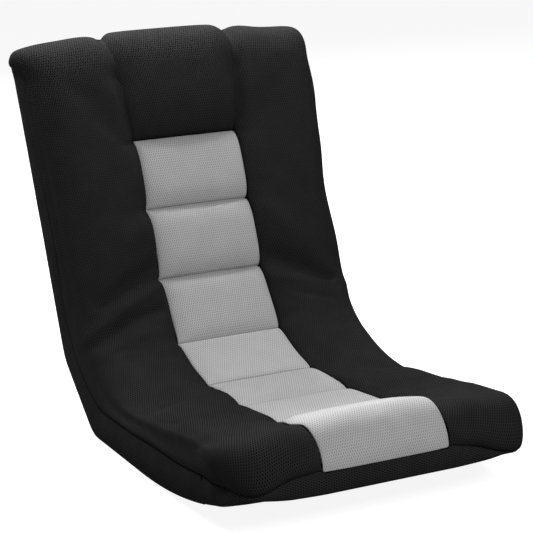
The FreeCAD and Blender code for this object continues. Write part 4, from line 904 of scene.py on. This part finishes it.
def border(name, front, rear):
    """A stuffed band between two edges of equal point counts, rolled under along its rear one."""
    front, rear = np.asarray(front), np.asarray(rear)
    middle = (front + rear) / 2
    outward = np.cross(np.gradient(middle, axis=0), rear - front)
    outward /= np.linalg.norm(outward, axis=1, keepdims=True)
    if np.sum(outward * (middle - CHAIR_MIDDLE)) < 0:
        outward = -outward
    width = np.linalg.norm(rear - front, axis=1, keepdims=True)
    rows = []
    for share in BAND_SHARES:
        under = BAND_ROLL * round_off(1 - (1 - share) * width / BAND_ROLL)
        lift = BAND_PUFF * math.sin(math.pi * share) - SEAM_GROOVE * (share == 0)
        rows.append(front + (rear - front) * share + outward * (lift - under))
    grid = np.stack(rows, axis=1)
    thing = skin(name, grid)
    inflate(thing, np.zeros(grid.shape), BAND_CAP, BAND_SLACK, ends=(3, 3), edges=(2, 2),
            stiff=STIFF_BENDING)
    return thing


def side_edges(grid):
    """Both edges of a side band, from the middle of the top down to the front's split. The grid
    is the bolster's, on the right."""
    top = grid[0, :TOP_COLUMNS]
    lead = np.linspace(0.0, PANEL_HALF, TOP_STEPS)[:-1]
    front = [[x, *top[0, 1:]] for x in lead] + list(top) + list(grid[1:SPLIT_ROW + 1, -1])
    rear = []
    for x in list(lead) + list(top[:, 0]):
        inside = min(x, HALF_WIDTH)
        fall = TOP_CORNER * float(round_off(1 - (HALF_WIDTH - inside) / TOP_CORNER))
        spot = BASE_ROWS[0] - UP_BACK * fall
        rear.append([inside, spot.real, spot.imag])
    highest = dot(TOP - BASE_ROWS[0], UP_BACK) + TOP_CORNER
    for spot in BASE_ROWS[1:SPLIT_ROW + 1]:
        spot = spot + UP_BACK * min(dot(TOP - spot, UP_BACK) - highest, 0)
        rear.append([HALF_WIDTH, spot.real, spot.imag])
    return front, rear


def front_foot(x, y):
    """Where the front band's foot lies for a point of its upper edge."""
    inside = HALF_WIDTH - LOW_CORNER
    start = BASE_FRONT + LOW_CORNER
    across, ahead = max(abs(x) - inside, 0), max(start - y, 0)
    if ahead == 0:
        foot = HALF_WIDTH, y
    elif across == 0:
        foot = abs(x), BASE_FRONT
    else:
        size = math.hypot(across, ahead)
        foot = inside + LOW_CORNER * across / size, start - LOW_CORNER * ahead / size
    corner = (1 - smooth(*CORNER_SAG_BACK, y - start)) * (1 - smooth(*CORNER_SAG_ACROSS, abs(x)))
    low, high, size = MIDDLE_SAG
    sag = FOOT_SAG + size * (1 - smooth(low, high, abs(x))) + CORNER_SAG * corner
    return [math.copysign(foot[0], x), foot[1], float(under_at(foot[1]) - sag)]


def front_edges(right, left, panel):
    """Both edges of the front band, from the right split round to the left one."""
    upper = list(right[SPLIT_ROW:, -1]) + list(right[-1, TOP_COLUMNS - 2::-1])
    upper += list(panel[-1, -2:0:-1]) + list(left[-1, :TOP_COLUMNS - 1])
    upper += list(left[:SPLIT_ROW - 1:-1, -1])
    upper = even(upper, FRONT_POINTS)
    return upper, [front_foot(x, y) for x, y, z in upper]


def bands(grids, black):
    for name, side in SIDES.items():
        turn = np.array([side, 1, 1])
        front, rear = side_edges(grids[name] * turn)
        thing = border("side_band_" + name, np.array(front) * turn, np.array(rear) * turn)
        blended(thing)
        dress(thing, black, "black_mesh", BAND_FILL,
              "seat_side_band_" + name, "back_side_band_" + name, "hinge_pad_" + name)
    thing = border("front_band", *front_edges(grids["right"], grids["left"], grids["panel"]))
    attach(thing, "seat")
    dress(thing, black, "black_mesh", BAND_FILL, "seat_front_band")


# The rear cover, the gusset at the heel and the underside

COVER_THICKNESS = 0.002
COVER_HALF = HALF_WIDTH - BAND_ROLL + 0.0015
COVER_CORNER = LOW_CORNER - BAND_ROLL
COVER_FRONT = BASE_FRONT + 0.007
COVER_COLUMNS = 41
COVER_TUCK = 0.0015
COVER_TUCK_REACH = 0.004
CUT_SEARCH_ROW = 40
REAR_CUT_ANGLE, SEAT_CUT_ANGLE = -30, -110


def half_cover(name, spot):
    """Half the width of a cover at a point of the base's outline."""
    if name == "rear_cover":
        return COVER_HALF - TOP_CORNER * round_off(1 - dot(BASE_ROWS[0] - spot, UP_BACK) / TOP_CORNER)
    if name == "underside":
        return COVER_HALF - COVER_CORNER * round_off(1 - (spot.real - COVER_FRONT) / COVER_CORNER)
    return COVER_HALF


def cover(name, run, cloth, *nodes):
    """A cloth stretched under the padding along a run of the base's outline."""
    rows = []
    for spot, tangent in zip(run, np.gradient(run)):
        half = half_cover(name, spot)
        outward = tangent / abs(tangent) * 1j
        x = half * np.sin(np.linspace(-math.pi / 2, math.pi / 2, COVER_COLUMNS))
        inset = spot - outward * (COVER_TUCK * np.exp(-(half - np.abs(x)) / COVER_TUCK_REACH))
        rows.append(spread(x, inset))
    thing = skin(name, np.array(rows), closed=False)
    finish_with(thing, "SOLIDIFY", thickness=COVER_THICKNESS, offset=1.0)
    weld(thing)
    thing.data.materials.append(cloth)
    blended(thing)
    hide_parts(*nodes)


def first_past(angle, start):
    """The first row of the base, from a start on, that lies past an angle about the hinges."""
    return next(row for row in range(start, ROW_COUNT)
                if math.degrees(cmath.phase(BASE_ROWS[row] - HINGE)) < angle)


def covers(cloth):
    rear_cut = first_past(REAR_CUT_ANGLE, CUT_SEARCH_ROW)
    seat_cut = first_past(SEAT_CUT_ANGLE, rear_cut)
    ahead = np.linspace(BASE_ROWS[SPLIT_ROW].real, COVER_FRONT, FRONT_STEPS)
    ahead = ahead + 1j * under_at(ahead)
    underside = np.concatenate([BASE_ROWS[seat_cut:SPLIT_ROW], ahead])
    cover("rear_cover", BASE_ROWS[:rear_cut + 1], cloth, "back_rear_cover", "back_rear_foam")
    cover("heel_gusset_cloth", BASE_ROWS[rear_cut:seat_cut + 1], cloth, "heel_gusset")
    cover("underside", underside, cloth, "seat_sole", "seat_base_foam")


# The pieces together

BOLSTER_CAP, BOLSTER_SLACK = 0.005, 0.014
PANEL_CAP, PANEL_SLACK = 0.0016, 0.008
HEAD_CAP, HEAD_SLACK = 0.004, 0.010
BOLSTER_FILL, PANEL_FILL, HEAD_FILL = 0.8, 0.8, 0.9


def soft_pieces():
    black, grey = mesh_cloth("black_mesh"), mesh_cloth("grey_mesh")
    plain = plain_cloth("base_cloth")
    grids = {}
    for name, side in SIDES.items():
        grids[name], relief = bolster_grid(side)
        thing = skin("bolster_" + name, grids[name])
        inflate(thing, relief, BOLSTER_CAP, BOLSTER_SLACK, ends=(7, 2), edges=(2, 4),
                stiff=STIFF_BENDING)
        blended(thing)
        dress(thing, black, "black_mesh", BOLSTER_FILL,
              "seat_bolster_" + name, "fold_bolster_" + name, "back_bolster_" + name)
    grids["panel"] = panel_grid()
    thing = skin("center_panel", grids["panel"])
    inflate(thing, panel_seams(grids["panel"]), PANEL_CAP, PANEL_SLACK, rows=SEAM_ROWS, edges=(3, 3))
    blended(thing)
    dress(thing, grey, "grey_mesh", PANEL_FILL,
          "seat_center_panel", "fold_center_panel", "back_center_panel")
    head = head_grid()
    thing = skin("headrest", head)
    inflate(thing, np.zeros(head.shape), HEAD_CAP, HEAD_SLACK, ends=(8, 2), edges=(3, 3),
            stiff=STIFF_BENDING)
    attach(thing, "back")
    dress(thing, black, "black_mesh", HEAD_FILL, "headrest_pad")
    bands(grids, black)
    covers(plain)


# The leaf spring of each pawl, as (y, z) of its root and tip
LEAF_ROOT = (0.10448, 0.04579)
LEAF_TIP = (0.12510, 0.05566)
LEAF_OFFSET = 0.19
LEAF_WIDTH = 0.0026
LEAF_THICKNESS = 0.0005
LEAF_BEVEL = 0.00012


def pawl_springs():
    """The leaf that presses each pawl."""
    steel = plain_metal("leaf_steel", 0.42, 0.3)
    for name, side in SIDES.items():
        pairs = tuple(zip(LEAF_ROOT, LEAF_TIP))
        span = Vector((0, *(tip - root for root, tip in pairs)))
        middle = Vector((side * LEAF_OFFSET, *((tip + root) / 2 for root, tip in pairs)))
        bpy.ops.mesh.primitive_cube_add(size=1, location=middle,
                                        rotation=(math.atan2(span.z, span.y), 0, 0))
        leaf = bpy.context.active_object
        leaf.name = "pawl_leaf_" + name
        leaf.scale = (LEAF_WIDTH, span.length, LEAF_THICKNESS)
        bpy.ops.object.transform_apply(location=True, rotation=True, scale=True)
        bpy.ops.object.mode_set(mode="EDIT")
        bpy.ops.mesh.select_all(action="SELECT")
        bpy.ops.mesh.bevel(offset=LEAF_BEVEL, segments=1)
        bpy.ops.mesh.subdivide(number_cuts=9)
        bpy.ops.object.mode_set(mode="OBJECT")
        leaf.data.materials.append(steel)
        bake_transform(leaf)
        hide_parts("pawl_spring_" + name)


# Finishes of the metal: tone, roughness, metallic
METALS = {
    "frame_paint": (0.03, 0.45, 0.0),
    "hinge_steel": (0.5, 0.38, 1.0),
    "rivet_steel": (0.6, 0.32, 1.0),
    "spring_steel": (0.4, 0.42, 1.0),
}


def metals():
    finishes = {slot: plain_metal(slot, *values) for slot, values in METALS.items()}
    for entry in frame["record"]["subparts"]:
        finish = finishes.get(entry.get("material_slot"))
        if finish:
            materials = frame["nodes"][entry["node"]].data.materials
            materials.clear()
            materials.append(finish)


# Materials

class Tap:
    """A value in a material that can be reckoned with."""

    def __init__(self, desk, socket):
        self.desk = desk
        self.socket = socket

    def _math(self, operation, *values):
        return self.desk.node("ShaderNodeMath", {"operation": operation}, *values)

    def __add__(self, other):
        return self._math("ADD", self, other)

    def __sub__(self, other):
        return self._math("SUBTRACT", self, other)

    def __rsub__(self, other):
        return self._math("SUBTRACT", other, self)

    def __mul__(self, other):
        return self._math("MULTIPLY", self, other)

    __radd__, __rmul__ = __add__, __mul__

    def cosine(self):
        return self._math("COSINE", self)

    def larger(self, other):
        return self._math("MAXIMUM", self, other)


class Desk:
    """The nodes of a material or of the world."""

    def __init__(self, owner):
        owner.use_nodes = True
        self.owner = owner
        self.tree = owner.node_tree
        self.tree.nodes.clear()

    def node(self, kind, settings=None, *values, out=0, **named):
        """Adds a node, with its settings and the values or links of its sockets."""
        made = self.tree.nodes.new(kind)
        for key, value in (settings or {}).items():
            setattr(made, key, value)
        for key, value in list(enumerate(values)) + list(named.items()):
            socket = made.inputs[key if isinstance(key, int) else key.replace("_", " ")]
            if isinstance(value, Tap):
                self.tree.links.new(value.socket, socket)
            elif value is not None:
                socket.default_value = value
        return Tap(self, made.outputs[out]) if made.outputs else None

    def blend(self, share, a, b):
        """A colour between two. The sockets passed over aren't for colours."""
        between = [None] * 5
        return self.node("ShaderNodeMix", {"data_type": "RGBA"}, share, *between, a, b, out=2)

    def noise(self, where, scale, detail):
        return self.node("ShaderNodeTexNoise", {}, where, Scale=scale, Detail=detail)

    def bump(self, height, strength, depth):
        return self.node("ShaderNodeBump", {}, Strength=strength, Distance=depth, Height=height)

    def coated(self, **named):
        return self.finished(self.node("ShaderNodeBsdfPrincipled", {}, **named))

    def finished(self, shader):
        """Ends the nodes in their output."""
        world = isinstance(self.owner, bpy.types.World)
        self.node("ShaderNodeOutputWorld" if world else "ShaderNodeOutputMaterial", {}, shader)
        return self.owner


def grey_tone(value):
    return (value, value, value, 1)


# Cloths: thread, pit, roughness, gloss
CLOTHS = {
    "black_mesh": (0.024, 0.001, 0.65, 0.0),
    "grey_mesh": (0.43, 0.25, 0.8, 0.05),
}
MILLIMETRES = 1000
CELL_WIDTH, CELL_LENGTH = 3.9, 4.2


def mesh_cloth(name):
    """Air mesh: a knitted face with rows of small open cells."""
    thread, pit, rough, gloss = CLOTHS[name]
    desk = Desk(bpy.data.materials.new(name))
    weave = desk.node("ShaderNodeUVMap", {"uv_map": "weave"})
    u, v = (desk.node("ShaderNodeSeparateXYZ", {}, weave, out=k) * MILLIMETRES for k in range(2))
    cells = (u * (2 * math.pi / CELL_WIDTH)).cosine() * (v * (math.pi / CELL_LENGTH)).cosine()
    face = desk.node("ShaderNodeMapRange", {"interpolation_type": "SMOOTHSTEP"}, cells,
                     0.75, 0.0, 0.0, 1.0)
    cloudy = desk.noise(weave, 28.0, 2.0)
    yarn = desk.noise(weave, 1500.0, 1.0)
    tone = desk.node("ShaderNodeClamp", {}, face * 0.85 + yarn * 0.25 + cloudy * 0.25 - 0.2)
    color = desk.blend(tone, grey_tone(pit), grey_tone(thread * 1.15))
    height = face * 0.8 + yarn * 0.2
    return desk.coated(Base_Color=color, Roughness=rough, Normal=desk.bump(height, 0.5, 0.0006),
                       Specular_IOR_Level=gloss)


def plain_cloth(name):
    desk = Desk(bpy.data.materials.new(name))
    weave = desk.node("ShaderNodeUVMap", {"uv_map": "weave"})
    warp, weft = (desk.node("ShaderNodeTexWave", {"bands_direction": way}, weave,
                            Scale=380.0, Distortion=0.6) for way in "XY")
    height = warp * 0.5 + weft * 0.5
    cloudy = desk.noise(weave, 22.0, 3.0)
    color = desk.blend(height * 0.6 + cloudy * 0.5 - 0.1, grey_tone(0.010), grey_tone(0.022))
    return desk.coated(Base_Color=color, Roughness=0.75, Normal=desk.bump(height, 0.4, 0.0003),
                       Sheen_Weight=0.05, Sheen_Roughness=0.5, Specular_IOR_Level=0.25)


def plain_metal(name, tone, rough, metallic=1.0):
    """A metal or its paint, slightly uneven in tone and gloss."""
    desk = Desk(bpy.data.materials.new(name))
    where = desk.node("ShaderNodeTexCoord", {}, out="Object")
    grain = desk.noise(where, 400.0, 3.0)
    patch = desk.noise(where, 30.0, 2.0)
    color = desk.blend(patch, grey_tone(tone * 0.8), grey_tone(tone * 1.15))
    return desk.coated(Base_Color=color, Metallic=metallic, Roughness=grain * 0.2 + (rough - 0.1),
                       Normal=desk.bump(grain, 0.15, 0.0003))


# Stage, light and camera

FLOOR_SIZE = 12
FLOOR_DROP = 0.0005
FLOOR_TONE = 0.35
FLOOR_GLOW = 0.9
AMBIENT = 0.05
WHITE = grey_tone(1)

# Softboxes: place, aim, size, watts
SOFTBOXES = {
    "ceiling": ((0.0, -0.2, 2.5), (0, 0.1, 0.2), (3.6, 2.6), 3),
    "front": ((0.3, -2.5, 2.3), (0, 0.05, 0.3), (1.8, 1.2), 60),
    "behind": ((0.0, 1.9, 1.75), (0, 0.4, 0.6), (3.0, 0.5), 150),
    "above": ((0.0, 0.40, 0.98), (0, 0.37, 0.6), (0.9, 0.25), 6.5),
    "side": ((-2.6, 0.3, 0.9), (0, 0, 0.2), (1.6, 1.2), 4),
}

SENSOR = 36
PHOTO_PIXELS = 533
FOCAL_PIXELS = 2000
CAMERA_PLACE = (-1.42624, -2.708, 1.15391)
CAMERA_AZIMUTH, CAMERA_ELEVATION = -28, 16


def floor():
    """A white floor that keeps the chair's shadow."""
    bpy.ops.object.select_all(action="DESELECT")
    bpy.ops.mesh.primitive_plane_add(size=FLOOR_SIZE, location=(0, 1.0, -FLOOR_DROP))
    plane = bpy.context.active_object
    plane.name = "floor"
    desk = Desk(bpy.data.materials.new("floor_white"))
    diffuse = desk.node("ShaderNodeBsdfDiffuse", {}, grey_tone(FLOOR_TONE))
    glow = desk.node("ShaderNodeEmission", {}, WHITE, FLOOR_GLOW)
    both = desk.node("ShaderNodeAddShader", {}, diffuse, glow)
    seen = desk.node("ShaderNodeLightPath", {}, out="Is Camera Ray")
    mixed = desk.node("ShaderNodeMixShader", {}, seen, diffuse, both)
    plane.data.materials.append(desk.finished(mixed))


def studio():
    """A world that is white where it is seen and dim where it lights."""
    scene = bpy.context.scene
    scene.world = bpy.data.worlds.new("studio")
    desk = Desk(scene.world)
    camera, through, mirrored = (desk.node("ShaderNodeLightPath", {}, out=f"Is {kind} Ray")
                                 for kind in ("Camera", "Transmission", "Glossy"))
    seen = camera.larger(through).larger(mirrored)
    desk.finished(desk.node("ShaderNodeBackground", {}, WHITE, seen * (1 - AMBIENT) + AMBIENT))


def lights():
    for name, (place, aim, size, watts) in SOFTBOXES.items():
        data = bpy.data.lights.new(name, "AREA")
        data.shape = "RECTANGLE"
        data.size, data.size_y = size
        data.energy = watts
        lamp = linked(name, data)
        lamp.location = place
        lamp.rotation_euler = (Vector(aim) - Vector(place)).to_track_quat("-Z", "Y").to_euler()


def photo_camera():
    data = bpy.data.cameras.new("camera")
    data.lens = FOCAL_PIXELS / PHOTO_PIXELS * SENSOR
    data.sensor_width = SENSOR
    camera = linked("camera", data)
    camera.location = CAMERA_PLACE
    camera.rotation_euler = (math.radians(90 - CAMERA_ELEVATION), 0, math.radians(CAMERA_AZIMUTH))
    bpy.context.scene.camera = camera


bpy.context.scene.view_settings.view_transform = "Standard"
floor()
studio()
lights()
photo_camera()
soft_pieces()
metals()
pawl_springs()
